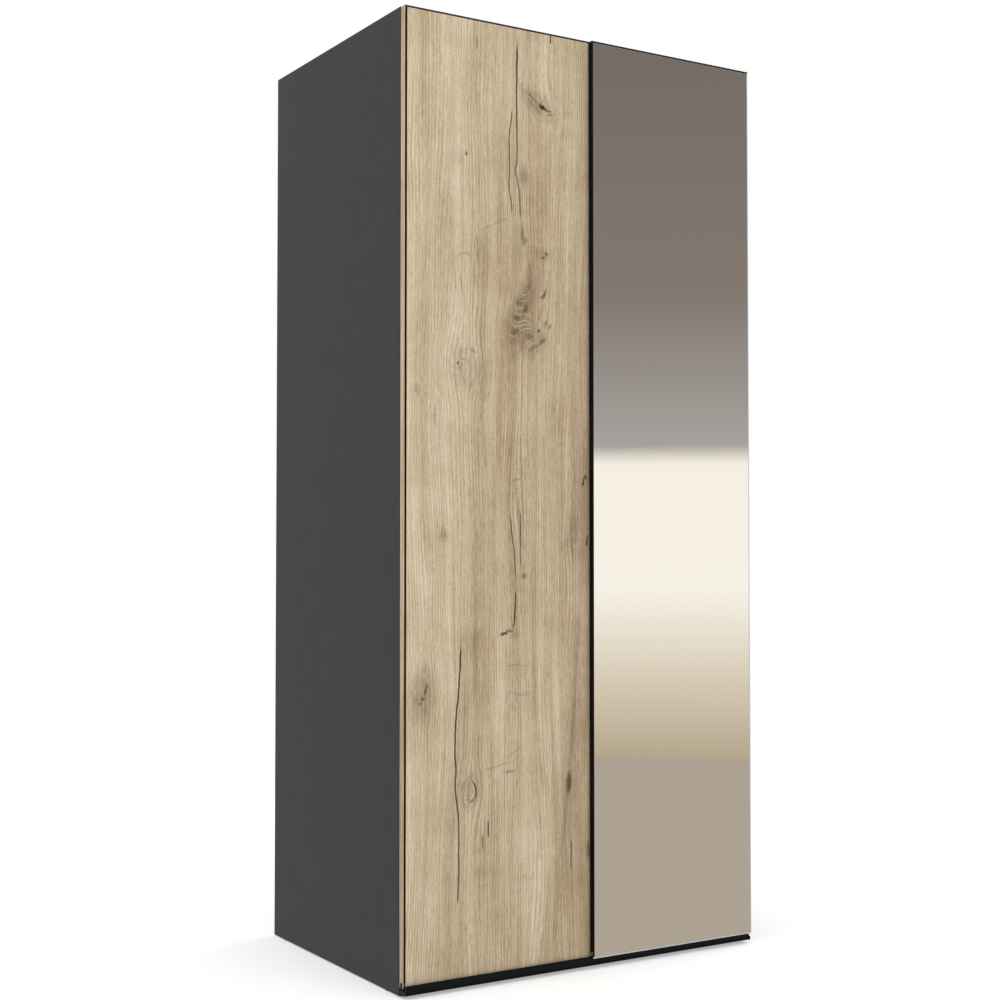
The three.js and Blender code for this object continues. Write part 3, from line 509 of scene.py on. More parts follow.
CRACKS = (
    Crack(((-188, 2140), (-190, 1990), (-190, 1845), (-193, 1832), (-188, 1808), (-182, 1770),
           (-180, 1700)), 4.2, 1.0, 0.6),
    Crack(((-203, 1990), (-204, 1948), (-210, 1905), (-209, 1832), (-210, 1790), (-204, 1755),
           (-202, 1706)), 3.4, 0.85, 0.9),
    Crack(((-297, 2142), (-296, 2072)), 2.6, 0.55, 0.6),
    Crack(((-97, 2180), (-97, 2130)), 3.4, 1.0, 1.0, 1.2, 12),
    Crack(((-207, 1066), (-203, 1000), (-196, 963), (-194, 880)), 3.0, 0.95, 0.7),
    Crack(((-181, 1072), (-180, 1000), (-180, 905)), 3.2, 0.9, 0.6),
    Crack(((-193, 882), (-196, 812), (-199, 796), (-206, 780)), 3.4, 1.0, 1.0, 1.6, 18),
    Crack(((-335, 775), (-337, 735), (-342, 652), (-350, 576), (-351, 523), (-349, 480), (-350, 452),
           (-347, 411), (-342, 367), (-341, 300), (-345, 170)), 4.0, 1.0, 0.8),
    Crack(((-38, 605), (-40, 540), (-37, 470)), 5.0, 0.4, 1.0, 4.0),
    Crack(((-42, 318), (-43, 215)), 3.8, 0.9, 0.7, 2.4, 30),
    Crack(((-301, 830), (-299, 720), (-302, 600)), 10.0, 0.22, 1.0, 9.0, 60),
    Crack(((-278, 346), (-281, 290)), 5.0, 0.75, 0.5, 3.6, 20),
    Crack(((-266, 376), (-264, 316)), 4.4, 0.85, 0.8, 3.0, 20),
    Crack(((-286, 300), (-288, 140)), 3.0, 0.25, 0.8, 3.0, 50),
    Crack(((-286, 1500), (-283, 1345), (-275, 1190), (-270, 1090)), 7.0, 0.17, 0.8, 6.0, 70),
    Crack(((-96, 600), (-92, 480), (-97, 330)), 8.0, 0.16, 0.8, 8.0, 60),
    Crack(((-22, 1190), (-33, 1110), (-40, 1010), (-36, 930), (-38, 870)), 5.0, 0.13, 1.0, 5.0, 60),
    Crack(((-16, 880), (-27, 720), (-34, 590), (-52, 414), (-62, 300)), 9.0, 0.22, 1.0, 8.0, 90),
    Crack(((-52, 420), (-69, 279), (-80, 160), (-92, 40)), 12.0, 0.2, 0.7, 10.0, 60),
    Crack(((-166, 1108), (-163, 1030), (-164, 960), (-168, 905)), 2.0, 0.3, 0.6, 2.4, 30),
    Crack(((-211, 1104), (-213, 1085), (-207, 1062)), 2.0, 0.3, 1.0, 2.4, 8),
    Crack(((-211, 1100), (-203, 1120), (-190, 1126), (-176, 1124), (-166, 1106)), 2.8, 0.42, 1.0, 2.6,
          6, True),
    Crack(((-200, 1098), (-188, 1106), (-178, 1100)), 2.2, 0.22, 1.0, 2.6, 6, True),
    Crack(((-349, 1606), (-342, 1622), (-330, 1628), (-314, 1624), (-305, 1606)), 3.0, 0.42, 1.0, 3.0,
          6, True),
    Crack(((-350, 1606), (-352, 1570), (-346, 1530)), 3.0, 0.34, 0.6, 3.0, 20),
    Crack(((-304, 1610), (-301, 1580), (-303, 1540)), 3.0, 0.34, 0.6, 3.0, 20),
    Crack(((-338, 1590), (-334, 1545), (-325, 1515)), 3.0, 0.34, 0.8, 3.0, 20),
    Crack(((-295, 1684), (-294, 1640), (-288, 1606)), 3.0, 0.36, 1.2, 3.0, 16),
    Crack(((-292, 1680), (-270, 1692), (-240, 1706), (-209, 1720)), 4.0, 0.22, 1.0, 4.0, 10, True),
    Crack(((-312, 462), (-303, 452), (-298, 441), (-297, 424), (-304, 410)), 4.0, 1.0, 0.85, 2.2, 10),
    Crack(((-318, 466), (-330, 448), (-333, 428), (-328, 405), (-312, 389)), 2.2, 0.3, 1.0, 2.4, 12),
    Crack(((-230, 702), (-190, 708), (-150, 700)), 6.0, 0.15, 1.0, 6.0, 20, True),
    Crack(((-222, 650), (-200, 645), (-170, 640), (-140, 646)), 5.0, 0.2, 1.0, 5.0, 20, True),
    Crack(((-228, 226), (-185, 232), (-143, 216)), 4.0, 0.1, 1.0, 7.0, 24, True),
    Crack(((-216, 196), (-180, 204), (-150, 198)), 4.0, 0.08, 1.0, 7.0, 24, True),
)

# Pale threads that wind across the burl.
THREADS = tuple(
    Crack(path, 3.2, soft=2.6, taper=8.0, crosswise=True)
    for path in (
        ((-201, 1515), (-195, 1506), (-183, 1500), (-169, 1505), (-158, 1502), (-150, 1498), (-142, 1493)),
        ((-211, 1505), (-205, 1494), (-196, 1485), (-185, 1484), (-169, 1489), (-156, 1486), (-147, 1494)),
        ((-219, 1504), (-212, 1490), (-205, 1481), (-196, 1474), (-183, 1475), (-169, 1479), (-142, 1483)),
        ((-217, 1469), (-209, 1457), (-201, 1451), (-192, 1454), (-183, 1462), (-172, 1468), (-142, 1474)),
        ((-200, 1524), (-192, 1518), (-180, 1516), (-169, 1519), (-161, 1530)),
        ((-190, 1541), (-182, 1534), (-170, 1533), (-160, 1544)),
        ((-183, 1555), (-174, 1547), (-164, 1549), (-156, 1558)),
        ((-170, 1570), (-163, 1562), (-157, 1567), (-152, 1580)),
        ((-180, 1425), (-166, 1435), (-150, 1446), (-139, 1453), (-132, 1451)),
        ((-168, 1422), (-153, 1435), (-140, 1444)),
        ((-164, 1397), (-158, 1411), (-147, 1427), (-134, 1438), (-115, 1455), (-98, 1477), (-90, 1491)),
    )
)

KNOTS = (
    Knot(-136, 1990, 34, 17, -33, 0.0, 0.5, 9, 0.3),
    Knot(-150, 2003, 20, 2.0, -38, 0.6, 0.5),
    Knot(-120, 1983, 13, 5.0, -29, 1.0, 0.5),
    Knot(-105, 1977, 9, 2.6, -8, 0.85, 0.3),
    Knot(-99, 1969, 8, 2.0, 10, 0.6, 0.3),
    Knot(-146, 1984, 26, 4.0, -45, 0.25, 0.4),
    Knot(-174, 2016, 16, 6, -50, 0.0, 0.35),
    Knot(-324, 1851, 3, 4, 0, 0.75, 0.3, 3),
    Knot(-345, 1840, 12, 13, 0, 0.0, 0.2, 5),
    Knot(-172, 1818, 8, 17, 0, 0.2, 0.4, 5, 0.3),
    Knot(-176, 1682, 4, 20, 4, 0.5, 0.35, 4),
    Knot(-171, 1668, 5, 9, -20, 0.4, 0.3),
    Knot(-111, 1645, 5, 5, 30, 0.8, 0.3),
    Knot(-118, 1636, 6, 2.6, 10, 0.7, 0.3, 4),
    Knot(-140, 1640, 20, 14, 0, 0.0, 0.35),
    Knot(-115, 1552, 3, 9, -15, 0.7, 0.3),
    Knot(-124, 1543, 6, 3, 20, 0.45, 0.3, 4),
    Knot(-190, 1640, 10, 40, 2, 0.0, 0.25),
    Knot(-284, 1620, 14, 40, 0, 0.0, 0.2, 6),
    Knot(-330, 1372, 27, 38, 20, 0.0, 0.2, 16, 0.4),
    Knot(-346, 1380, 2.5, 3.5, 0, 0.75, 0.3),
    Knot(-330, 1388, 16, 1.6, -14, 0.3, 0.3),
    Knot(-306, 1410, 9, 4, -30, 0.2, 0.3),
    Knot(-336, 1358, 5, 20, 24, 0.25, 0.2),
    Knot(-311, 1334, 3, 12, -20, 0.25, 0.2),
    Knot(-449, 1318, 6, 12, 0, 0.1, 0.3, 3),
    Knot(-404, 1265, 2, 26, 0, 0.3, 0.2),
    Knot(-8, 1124, 2.4, 16, -14, 0.95, 0.4, 5),
    Knot(-1, 1134, 2, 9, 30, 0.8, 0.3),
    Knot(2, 986, 2.6, 14, -6, 0.9, 0.4, 5),
    Knot(-34, 1010, 14, 44, -10, 0.1, 0.35, 6),
    Knot(-8, 1040, 20, 110, 0, 0.0, 0.3),
    Knot(-384, 998, 8, 10, 0, 0.1, 0.3, 5, 0.4),
    Knot(-188, 1062, 20, 70, 0, 0.0, 0.1, 15, 0.25),
    Knot(-172, 906, 5, 5, 0, 0.45, 0.4, 5, 0.4),
    Knot(-226, 777, 10, 3.2, 14, 0.95, 0.5, 6),
    Knot(-210, 783, 8, 2.6, -12, 0.7, 0.4),
    Knot(-196, 774, 8, 9, 0, 0.0, 0.4),
    Knot(-434, 650, 20, 40, -8, 0.0, 0.5, 9),
    Knot(-427, 660, 3, 12, -18, 0.7, 0.8),
    Knot(-434, 640, 6, 4, 10, 0.55, 0.7),
    Knot(-441, 630, 4, 3, 0, 0.5, 0.5),
    Knot(-448, 640, 3, 3, 0, 0.3, 0.5),
    Knot(-427, 684, 8, 20, 0, 0.0, 0.3),
    Knot(-165, 665, 60, 42, 4, 0.0, 0.05, 0, 0.3),
    Knot(-245, 482, 40, 1.8, 12, 0.22, 0.1),
    Knot(-196, 512, 26, 1.6, 32, 0.2, 0.1),
    Knot(-313, 432, 18, 30, 0, 0.05, 0.28, 15, 0.8),
    Knot(-309, 410, 9, 3.6, 24, 0.5, 0.5),
    Knot(-210, 468, 12, 2.4, 8, 0.45, 0.3, 3),
    Knot(-50, 432, 7, 26, -5, 0.75, 0.6, 6),
    Knot(-42, 500, 22, 120, -6, 0.0, 0.28),
    Knot(4, 272, 5, 16, 0, 0.5, 0.4, 4),
    Knot(-60, 1820, 8, 30, 6, 0.0, 0.2, 4),
)

# Broad soft zones of the print: middle and half axes in mm, tilt, and the lift in tone.
ZONES = (
    (-200, 1400, 40, 330, 0, -0.035),
    (-165, 1560, 55, 190, -6, -0.03),
    (-178, 920, 36, 250, 0, -0.05),
    (-245, 1180, 18, 150, -3, -0.03),
    (-12, 1160, 26, 250, 0, -0.035),
    (-66, 620, 24, 150, 0, 0.035),
    (-58, 220, 38, 150, -3, -0.035),
    (-395, 900, 40, 180, 0, 0.03),
    (-452, 620, 30, 60, 0, -0.045),
    (-325, 280, 55, 270, 2, -0.035),
    (-290, 700, 38, 110, 0, -0.03),
    (-150, 2040, 80, 90, 0, 0.05),
    (-115, 430, 45, 330, -3, 0.03),
    (-420, 950, 60, 250, 0, 0.02),
)

# The burl: its body first, then the stains and dark spots in it.
BURL = (
    Knot(-184, 1470, 29, 40, -14, 0.06, 0.75, 8),
    Knot(-169, 1526, 17, 54, -20, 0.06, 0.8, 8),
    Knot(-156, 1588, 8, 28, -10, 0.0, 0.75, 4),
    Knot(-148, 1444, 26, 22, 14, 0.0, 0.45),
    Knot(-154, 1594, 4, 8, 0, 0.0, 0.75),
    Knot(-161, 1562, 5, 10, -14, 0.3, 0.9),
    Knot(-182, 1529, 11, 8, 30, 0.28, 0.95),
    Knot(-169, 1512, 6, 15, -20, 0.42, 1.0),
    Knot(-191, 1490, 11, 8, 24, 0.36, 1.0),
    Knot(-207, 1476, 3, 9, 20, 0.0, 0.7),
    Knot(-194, 1459, 14, 8, 10, 0.3, 1.0),
    Knot(-203, 1434, 8, 9, 0, 0.15, 0.4),
    Knot(-158, 1451, 13, 7, -20, 0.2, 0.95),
    Knot(-123, 1443, 10, 5, 40, 0.36, 0.9),
    Knot(-146, 1427, 14, 4, 38, 0.36, 0.9),
    Knot(-132, 1466, 2.4, 4, 10, 0.9, 0.3),
    Knot(-116, 1550, 2.4, 8, -15, 0.2, 0.8),
    Knot(-123, 1546, 6, 2, 30, 0.0, 0.6),
    Knot(-112, 1484, 3, 7, -20, 0.15, 0.7),
    Knot(-102, 1477, 5, 3, 40, 0.15, 0.7),
    Knot(-130, 1500, 2, 12, -12, 0.1, 0.5),
)


@dataclass(frozen=True)
class OakDecor(Finish):
    """A printed oak decor with an embossed pore: matt, with knots, stains and drying cracks."""

    light: str = "E1D0B6"
    mean: str = "BDAA8B"
    deep: str = "927B5C"
    stain: str = "7F694E"
    edge_stain_and_shade: str = "8A7453"
    # the edging's colour: its streaks, and painted shade towards the foot
    heart: str = "2A241D"
    band_mm: Point = (64.0, 1.0, 1300.0)
    streak_mm: Point = (15.0, 1.0, 380.0)
    fibre_mm: Point = (2.3, 1.0, 24.0)
    ring_mm: float = 7.4  # spacing of the growth lines
    speck_mm: float = 2.3
    cloud_mm: float = 75.0
    shares: tuple[float, ...] = (0.2, 0.27, 0.23, 0.2, 0.1)  # of bands, streaks, fibres, specks, clouds
    contrast: Span = (0.335, 0.665)  # grain values that give the deepest and the lightest tone
    front_mm: float = -330.6  # Y of the door's face
    sway_mm: float = 3.2  # how far cracks and threads waver
    fray_mm: float = 7.0  # how far a knot's outline frays
    quiver: float = 10.0  # mm that growth lines quiver
    grain_mix: float = 0.65  # weight of a grain noise's finer detail
    patch_span: Span = (0.35, 0.65)  # patch values that give faint and loud growth lines
    fibre_span: Span = (0.25, 0.7)  # fibre values between which a stain weakens, and how far
    stain_span: Span = (1.2, 0.6)
    line_share: float = 0.45  # how dark a knot's growth lines are
    span_mm: Span = (-481.0, 17.0)  # X of the door's edges
    fall: Span = (0.04, -0.022)  # lift in tone at either edge
    edging_to: float = -480.7  # X up to which the free edge's edging shows
    bow_reach: float = 3.2  # half axes of a knot out to which the grain bows
    bow_gain: float = 2.4
    curve_margin: float = 10.0  # mm that a crack's curve leaves free at either side
    wander_mm: Point = (130.0, 130.0, 900.0)  # the slow sway of the grain, and how far it goes
    wander: float = 40.0
    quiver_mm: Point = (12.0, 12.0, 150.0)
    patch_mm: Point = (55.0, 55.0, 260.0)  # patches in which the growth lines are loud or faint
    loudness: Span = (0.01, 0.06)
    edge_line_mm: Point = (3.0, 3.5, 260.0)
    edge_line_span: Span = (0.42, 0.62)  # values that give the edging's palest and darkest streaks
    edge_shade_fall: Span = (1500.0, 100.0)  # heights between which they grow stronger as painted shade towards the foot, and how far
    edge_shade_strength: Span = (0.35, 0.85)
    edge_base: float = 0.18  # how dark the edging is between the streaks
    sway_size_mm: Point = (14.0, 14.0, 22.0)
    fray_size_mm: Point = (5.0, 5.0, 8.0)
    ring_waver_mm: Point = (16.0, 16.0, 24.0)
    stain_reach: Span = (2.3, 0.5)  # half axes where a stain ends, and where it is full
    heart_reach: Span = (1.5, 0.4)
    zone_reach: Span = (2.0, 0.2)
    ring_reach: Span = (2.3, 1.0)
    ring_pitch: float = 6.0  # mm of a knot's smaller half axis to each growth line
    fewest_rings: float = 2.0
    ring_waver: float = 1.1  # half axes that they waver
    ring_line: float = 0.2  # half a line's width, as a share of the gap between lines
    most_pull: float = 0.8  # how much of its place the grain may bow aside
    longest_tip: float = 0.45  # share of a crack's length that either end may taper over
    rim_span: Span = (0.0, 0.3)  # strengths of a thread that its brown rim and pale core rise over
    rim_share: float = 0.7
    core_span: Span = (0.45, 0.95)
    core_share: float = 0.55
    rough: Span = (0.7, 0.52)
    gloss: float = 0.3
    relief_mm: float = 0.08
    relief: float = 0.35  # how strongly the relief shows

    def dress(self, graph: Graph) -> None:
        """Grain that runs up the door and bows round the knots, then stains, hearts and cracks.

        Args:
            graph: the node tree to fill.
        """
        across = graph.add("Math", {0: graph.x, 1: graph.y}, operation="SUBTRACT")
        offset = graph.add("Math", {0: across, 1: self.front_mm}, operation="ADD")
        plain = graph.add("CombineXYZ", {0: offset, 2: graph.z})
        bowed = offset
        growth: object = 0.0
        for knot in (*KNOTS, *BURL):
            if knot.bow:
                bowed = self.bow(graph, knot, plain, bowed)
            if knot.rings:
                lines = self.growth(graph, knot, plain)
                growth = graph.add("Math", {0: lines, 1: growth}, operation="MAXIMUM")

        halo, heart = self.hearts(graph, plain)
        sway = graph.add("TexNoise", graph.grains(self.sway_size_mm, 1.0))
        swayed_x = graph.add("Math", {0: sway, 1: self.sway_mm, 2: offset}, operation="MULTIPLY_ADD")
        swayed_z = graph.add("Math", {0: sway, 1: self.sway_mm, 2: graph.z}, operation="MULTIPLY_ADD")
        for crack in CRACKS:
            line = self.crack(graph, crack, swayed_x, swayed_z)
            heart = graph.add("Math", {0: line, 1: heart}, operation="MAXIMUM")

        wood, fibre = self.grain(graph, bowed, plain)
        patchy = graph.add("MapRange", self.mapped(fibre, self.fibre_span, self.stain_span))
        stained_share = graph.add("Math", {0: halo, 1: patchy}, operation="MULTIPLY", use_clamp=True)
        both = {0: growth, 1: self.line_share, 2: stained_share}
        lines = graph.add("Math", both, operation="MULTIPLY_ADD", use_clamp=True)
        stained = graph.add("Mix", {0: lines, MIX_A: wood, MIX_B: linear(self.stain)}, **MIXED)
        curled = self.curls(graph, stained, swayed_x, swayed_z)
        pores = graph.add("TexNoise", graph.grains(self.fibre_mm, 1.0))
        tone = graph.add("Mix", {0: heart, MIX_A: curled, MIX_B: linear(self.heart)}, **MIXED)
        rough = graph.add("MapRange", self.mapped(pores, (0.0, 1.0), self.rough))
        graph.feed(Base_Color=tone, Roughness=rough, Specular_IOR_Level=self.gloss)
        bump = {"Strength": self.relief, "Distance": self.relief_mm * MM, "Height": pores}
        graph.feed(Normal=graph.add("Bump", bump))

    def hearts(
        self, graph: Graph, plain: bpy.types.NodeSocket
    ) -> tuple[bpy.types.NodeSocket, bpy.types.NodeSocket]:
        """The knots with frayed outlines: the stains and the dark hearts.

        Args:
            graph: the node tree.
            plain: the place on the door's face.

        Returns:
            How strongly the stains show, and how strongly the hearts do.
        """
        ragged = graph.add("TexNoise", graph.grains(self.fray_size_mm, 3.0, 0.8))
        shift = graph.add("MapRange", self.mapped(ragged, (0.0, 1.0), (-self.fray_mm, self.fray_mm)))
        aside = graph.add("CombineXYZ", {0: shift, 2: shift})
        frayed = graph.add("VectorMath", {0: plain, 1: aside}, operation="ADD")
        halo: object = 0.0
        heart: object = 0.0
        for knot in (*KNOTS, *BURL):
            near = self.distance(graph, knot, frayed)
            if knot.halo:
                ring = graph.add("MapRange", self.rise(near, *self.stain_reach, knot.halo), **SMOOTH)
                halo = graph.add("Math", {0: ring, 1: halo}, operation="MAXIMUM")
            if knot.dark:
                core = graph.add("MapRange", self.rise(near, *self.heart_reach, knot.dark), **SMOOTH)
                heart = graph.add("Math", {0: core, 1: heart}, operation="MAXIMUM")
        return halo, heart

    def grain(
        self, graph: Graph, bowed: bpy.types.NodeSocket, plain: bpy.types.NodeSocket
    ) -> tuple[bpy.types.NodeSocket, bpy.types.NodeSocket]:
        """The plain wood: bands, streaks, fibres, growth lines, specks and clouds.

        Args:
            graph: the node tree.
            bowed: the place across the grain, bent aside round the knots.
            plain: the place on the door's face.

        Returns:
            The wood's colour, and the fibres' pattern.
        """
        wander = graph.add("TexNoise", graph.grains(self.wander_mm, 1.0))
        swing = graph.add("MapRange", self.mapped(wander, (0.0, 1.0), (-self.wander, self.wander)))
        grain_x = graph.add("Math", {0: bowed, 1: swing}, operation="ADD")
        grain = graph.add("CombineXYZ", {0: grain_x, 2: graph.z})
        levels = []
        for sizes, detail in ((self.band_mm, 1.0), (self.streak_mm, 2.0), (self.fibre_mm, 1.0)):
            scaled = graph.add("VectorMath", {0: grain, 1: sizes}, operation="DIVIDE")
            noise = {"Vector": scaled, "Scale": 1.0, "Detail": detail, "Roughness": self.grain_mix}
            levels.append(graph.add("TexNoise", noise))
        band, streak, fibre = levels
        quiver = graph.add("TexNoise", graph.grains(self.quiver_mm, 2.0))
        phase = graph.add("Math", {0: quiver, 1: self.quiver, 2: grain_x}, operation="MULTIPLY_ADD")
        turn = graph.add("Math", {0: phase, 1: math.tau / self.ring_mm}, operation="MULTIPLY")
        swell = graph.add("Math", {0: turn}, operation="SINE")
        patches = graph.add("TexNoise", graph.grains(self.patch_mm, 1.0))
        loud = graph.add("MapRange", self.mapped(patches, self.patch_span, self.loudness))
        value = graph.add("Math", {0: swell, 1: loud}, operation="MULTIPLY")
        specks = graph.add("TexNoise", graph.grains((self.speck_mm,) * 3, 1.0))
        clouds = graph.add("TexNoise", graph.grains((self.cloud_mm,) * 3, 1.0))
        for level, share in zip((band, streak, fibre, specks, clouds), self.shares):
            value = graph.add("Math", {0: level, 1: share, 2: value}, operation="MULTIPLY_ADD")
        value = graph.add("Math", {0: value, 1: self.zones(graph, plain)}, operation="ADD")
        level = graph.add("MapRange", self.mapped(value, self.contrast))
        stops = ((0.0, self.deep), (1.0, self.light), (0.5, self.mean))
        wood = graph.add("ValToRGB", {0: level}, stops=stops)
        return self.edging(graph, wood), fibre

    def zones(self, graph: Graph, plain: bpy.types.NodeSocket) -> bpy.types.NodeSocket:
        """The tone that the broad zones add, over a fall from the paler left to the right.

        Args:
            graph: the node tree.
            plain: the place on the door's face.

        Returns:
            The lift in tone.
        """
        tone = graph.add("MapRange", self.mapped(graph.x, self.span_mm, self.fall))
        for x, z, wide, tall, tilt, lift in ZONES:
            near = self.distance(graph, Knot(x, z, wide, tall, tilt), plain)
            share = graph.add("MapRange", self.rise(near, *self.zone_reach, lift), **SMOOTH)
            tone = graph.add("Math", {0: tone, 1: share}, operation="ADD")
        return tone

    def edging(self, graph: Graph, wood: bpy.types.NodeSocket) -> bpy.types.NodeSocket:
        """Darker streaks on the edging of the free edge, made stronger towards the foot by painted shade.

        Args:
            graph: the node tree.
            wood: the colour of the face.

        Returns:
            The colour with the edging.
        """
        at_edge = graph.add("Math", {0: graph.x, 1: self.edging_to}, operation="LESS_THAN")
        lines = graph.add("TexNoise", graph.grains(self.edge_line_mm, 2.0, 0.6))
        streak = graph.add("MapRange", self.mapped(lines, self.edge_line_span))
        # painted shade: the streaks grow darker towards the foot
        low = graph.add("MapRange", self.mapped(graph.z, self.edge_shade_fall, self.edge_shade_strength))
        streaked = graph.add("Math", {0: streak, 1: low, 2: self.edge_base}, operation="MULTIPLY_ADD")
        share = graph.add("Math", {0: streaked, 1: at_edge}, operation="MULTIPLY")
        return graph.add("Mix", {0: share, MIX_A: wood, MIX_B: linear(self.edge_stain_and_shade)}, **MIXED)

    def growth(self, graph: Graph, knot: Knot, place: bpy.types.NodeSocket) -> bpy.types.NodeSocket:
        """Thin closed lines round a knot, fading outwards.

        Args:
            graph: the node tree.
            knot: the knot.
            place: the place on the door's face.

        Returns:
            How strongly the lines show.
        """
        near = self.distance(graph, knot, place)
        count = max(self.fewest_rings, min(knot.wide, knot.tall) / self.ring_pitch)
        waver = graph.add("TexNoise", graph.grains(self.ring_waver_mm, 1.0))
        uneven = graph.add("Math", {0: waver, 1: self.ring_waver, 2: near}, operation="MULTIPLY_ADD")
        steps = graph.add("Math", {0: uneven, 1: count}, operation="MULTIPLY")
        back = graph.add("Math", {0: steps, 1: 0.5}, operation="PINGPONG")
        line = graph.add("MapRange", self.rise(back, self.ring_line, 0.0, 1.0), **SMOOTH)
        reach = graph.add("MapRange", self.rise(near, *self.ring_reach, knot.rings), **SMOOTH)
        return graph.add("Math", {0: line, 1: reach}, operation="MULTIPLY")

    @staticmethod
    def mapped(value: object, source: Span, target: Span = (0.0, 1.0)) -> dict:
        """What a Map Range's inputs take to map one span onto another.

        Args:
            value: the value that is mapped.
            source: its span.
            target: the span of the result.

        Returns:
            The inputs, by name.
        """
        inputs = dict(zip(("From Min", "From Max", "To Min", "To Max"), (*source, *target)))
        return {"Value": value, **inputs}

    @staticmethod
    def rise(value: object, outer: float, inner: float, most: object) -> dict:
        """What a Map Range's inputs take to rise from nothing at the outer value to the inner one.

        Args:
            value: the value that is mapped.
            outer: where it starts to rise.
            inner: where it reaches the most.
            most: its highest result.

        Returns:
            The inputs, by name.
        """
        return {"Value": value, "From Min": outer, "From Max": inner, "To Min": 0.0, "To Max": most}

    @staticmethod
    def distance(
        graph: Graph, knot: Knot, place: bpy.types.NodeSocket, grown: float = 1.0
    ) -> bpy.types.NodeSocket:
        """How far a place is from a knot's middle, in half axes.

        It works on vectors alone, which keeps few values waiting in the shader.

        Args:
            graph: the node tree.
            knot: the knot.
            place: the place on the door's face.
            grown: how many times its size the knot is taken at.

        Returns:
            The distance, 1 on the grown outline.
        """
        own = graph.add("VectorMath", {0: place, 1: (knot.x, 0.0, knot.z)}, operation="SUBTRACT")
        wide, tall = knot.wide * grown, knot.tall * grown
        if knot.tilt:
            turn = math.radians(knot.tilt)
            long_way = (math.cos(turn) / wide, 0.0, math.sin(turn) / wide)
            short_way = (-math.sin(turn) / tall, 0.0, math.cos(turn) / tall)
            u = graph.add("VectorMath", {0: own, 1: long_way}, out="Value", operation="DOT_PRODUCT")
            v = graph.add("VectorMath", {0: own, 1: short_way}, out="Value", operation="DOT_PRODUCT")
            flat = graph.add("CombineXYZ", {0: u, 2: v})
        else:
            flat = graph.add("VectorMath", {0: own, 1: (wide, 1.0, tall)}, operation="DIVIDE")
        return graph.add("VectorMath", {0: flat}, out="Value", operation="LENGTH")

    def bow(
        self, graph: Graph, knot: Knot, place: bpy.types.NodeSocket, across: bpy.types.NodeSocket
    ) -> bpy.types.NodeSocket:
        """Bends the grain's coordinate aside round a knot.

        Args:
            graph: the node tree.
            knot: the knot.
            place: the place on the door's face.
            across: the place across the grain, so far.

        Returns:
            The place across the grain, bent further.
        """
        near = self.distance(graph, knot, place, self.bow_reach)
        fall = graph.add("MapRange", self.rise(near, 1.0, 0.0, 1.0), **SMOOTH)
        aside = graph.add("Math", {0: across, 1: knot.x}, operation="SUBTRACT")
        pull = min(knot.bow * self.bow_gain / (knot.wide * self.bow_reach), self.most_pull)
        share = graph.add("Math", {0: fall, 1: -pull}, operation="MULTIPLY")
        return graph.add("Math", {0: aside, 1: share, 2: across}, operation="MULTIPLY_ADD")

    def crack(
        self, graph: Graph, crack: Crack, across: bpy.types.NodeSocket, height: bpy.types.NodeSocket
    ) -> bpy.types.NodeSocket:
        """A line along a crack's path, tapering at both ends.

        Args:
            graph: the node tree.
            crack: the crack.
            across: X of the place, wavering.
            height: Z of the place, wavering.

        Returns:
            How dark the place is.
        """
        xs, zs = zip(*crack.path)
        if crack.crosswise:
            xs, zs, across, height = zs, xs, height, across
        low, high = min(zs), max(zs)
        left, wide = min(xs) - self.curve_margin, max(xs) - min(xs) + 2 * self.curve_margin
        length = high - low
        along = graph.add("Math", {0: height, 1: 1 / length, 2: -low / length}, operation="MULTIPLY_ADD")
        rows = sorted(((z - low) / length, (x - left) / wide) for x, z in zip(xs, zs))
        stops = (rows[0], rows[-1], *rows[1:-1])
        run = graph.add("FloatCurve", {"Value": along}, stops=stops)
        middle = graph.add("Math", {0: run, 1: wide, 2: left}, operation="MULTIPLY_ADD")
        gap = graph.add("Math", {0: across, 1: middle}, operation="SUBTRACT")
        off = graph.add("Math", {0: gap}, operation="ABSOLUTE")
        aside = graph.add("Math", {0: along, 1: 0.5}, operation="SUBTRACT")
        from_middle = graph.add("Math", {0: aside}, operation="ABSOLUTE")
        tip = min(crack.taper / length, self.longest_tip)
        whole = crack.width / 2 + crack.soft
        half = graph.add("MapRange", self.rise(from_middle, 0.5, 0.5 - tip, whole), **SMOOTH)
        inside = graph.add("Math", {0: half, 1: off}, operation="SUBTRACT")
        fall = crack.dark * (1.0 - crack.foot)
        dark = graph.add("Math", {0: along, 1: fall, 2: crack.dark * crack.foot}, operation="MULTIPLY_ADD")
        return graph.add("MapRange", self.rise(inside, crack.soft / 2, 1.5 * crack.soft, dark), **SMOOTH)

    def curls(
        self,
        graph: Graph,
        wood: bpy.types.NodeSocket,
        across: bpy.types.NodeSocket,
        height: bpy.types.NodeSocket,
    ) -> bpy.types.NodeSocket:
        """Pale threads with brown rims that wind across the burl.

        Args:
            graph: the node tree.
            wood: the colour under them.
            across: X of the place, wavering.
            height: Z of the place, wavering.

        Returns:
            The colour with the threads.
        """
        thread: object = 0.0
        for path in THREADS:
            line = self.crack(graph, path, across, height)
            thread = graph.add("Math", {0: line, 1: thread}, operation="MAXIMUM")
        rim = graph.add("MapRange", self.mapped(thread, self.rim_span, (0.0, self.rim_share)))
        rimmed = graph.add("Mix", {0: rim, MIX_A: wood, MIX_B: linear(self.stain)}, **MIXED)
        core = graph.add("MapRange", self.mapped(thread, self.core_span, (0.0, self.core_share)))
        return graph.add("Mix", {0: core, MIX_A: rimmed, MIX_B: linear(self.light)}, **MIXED)


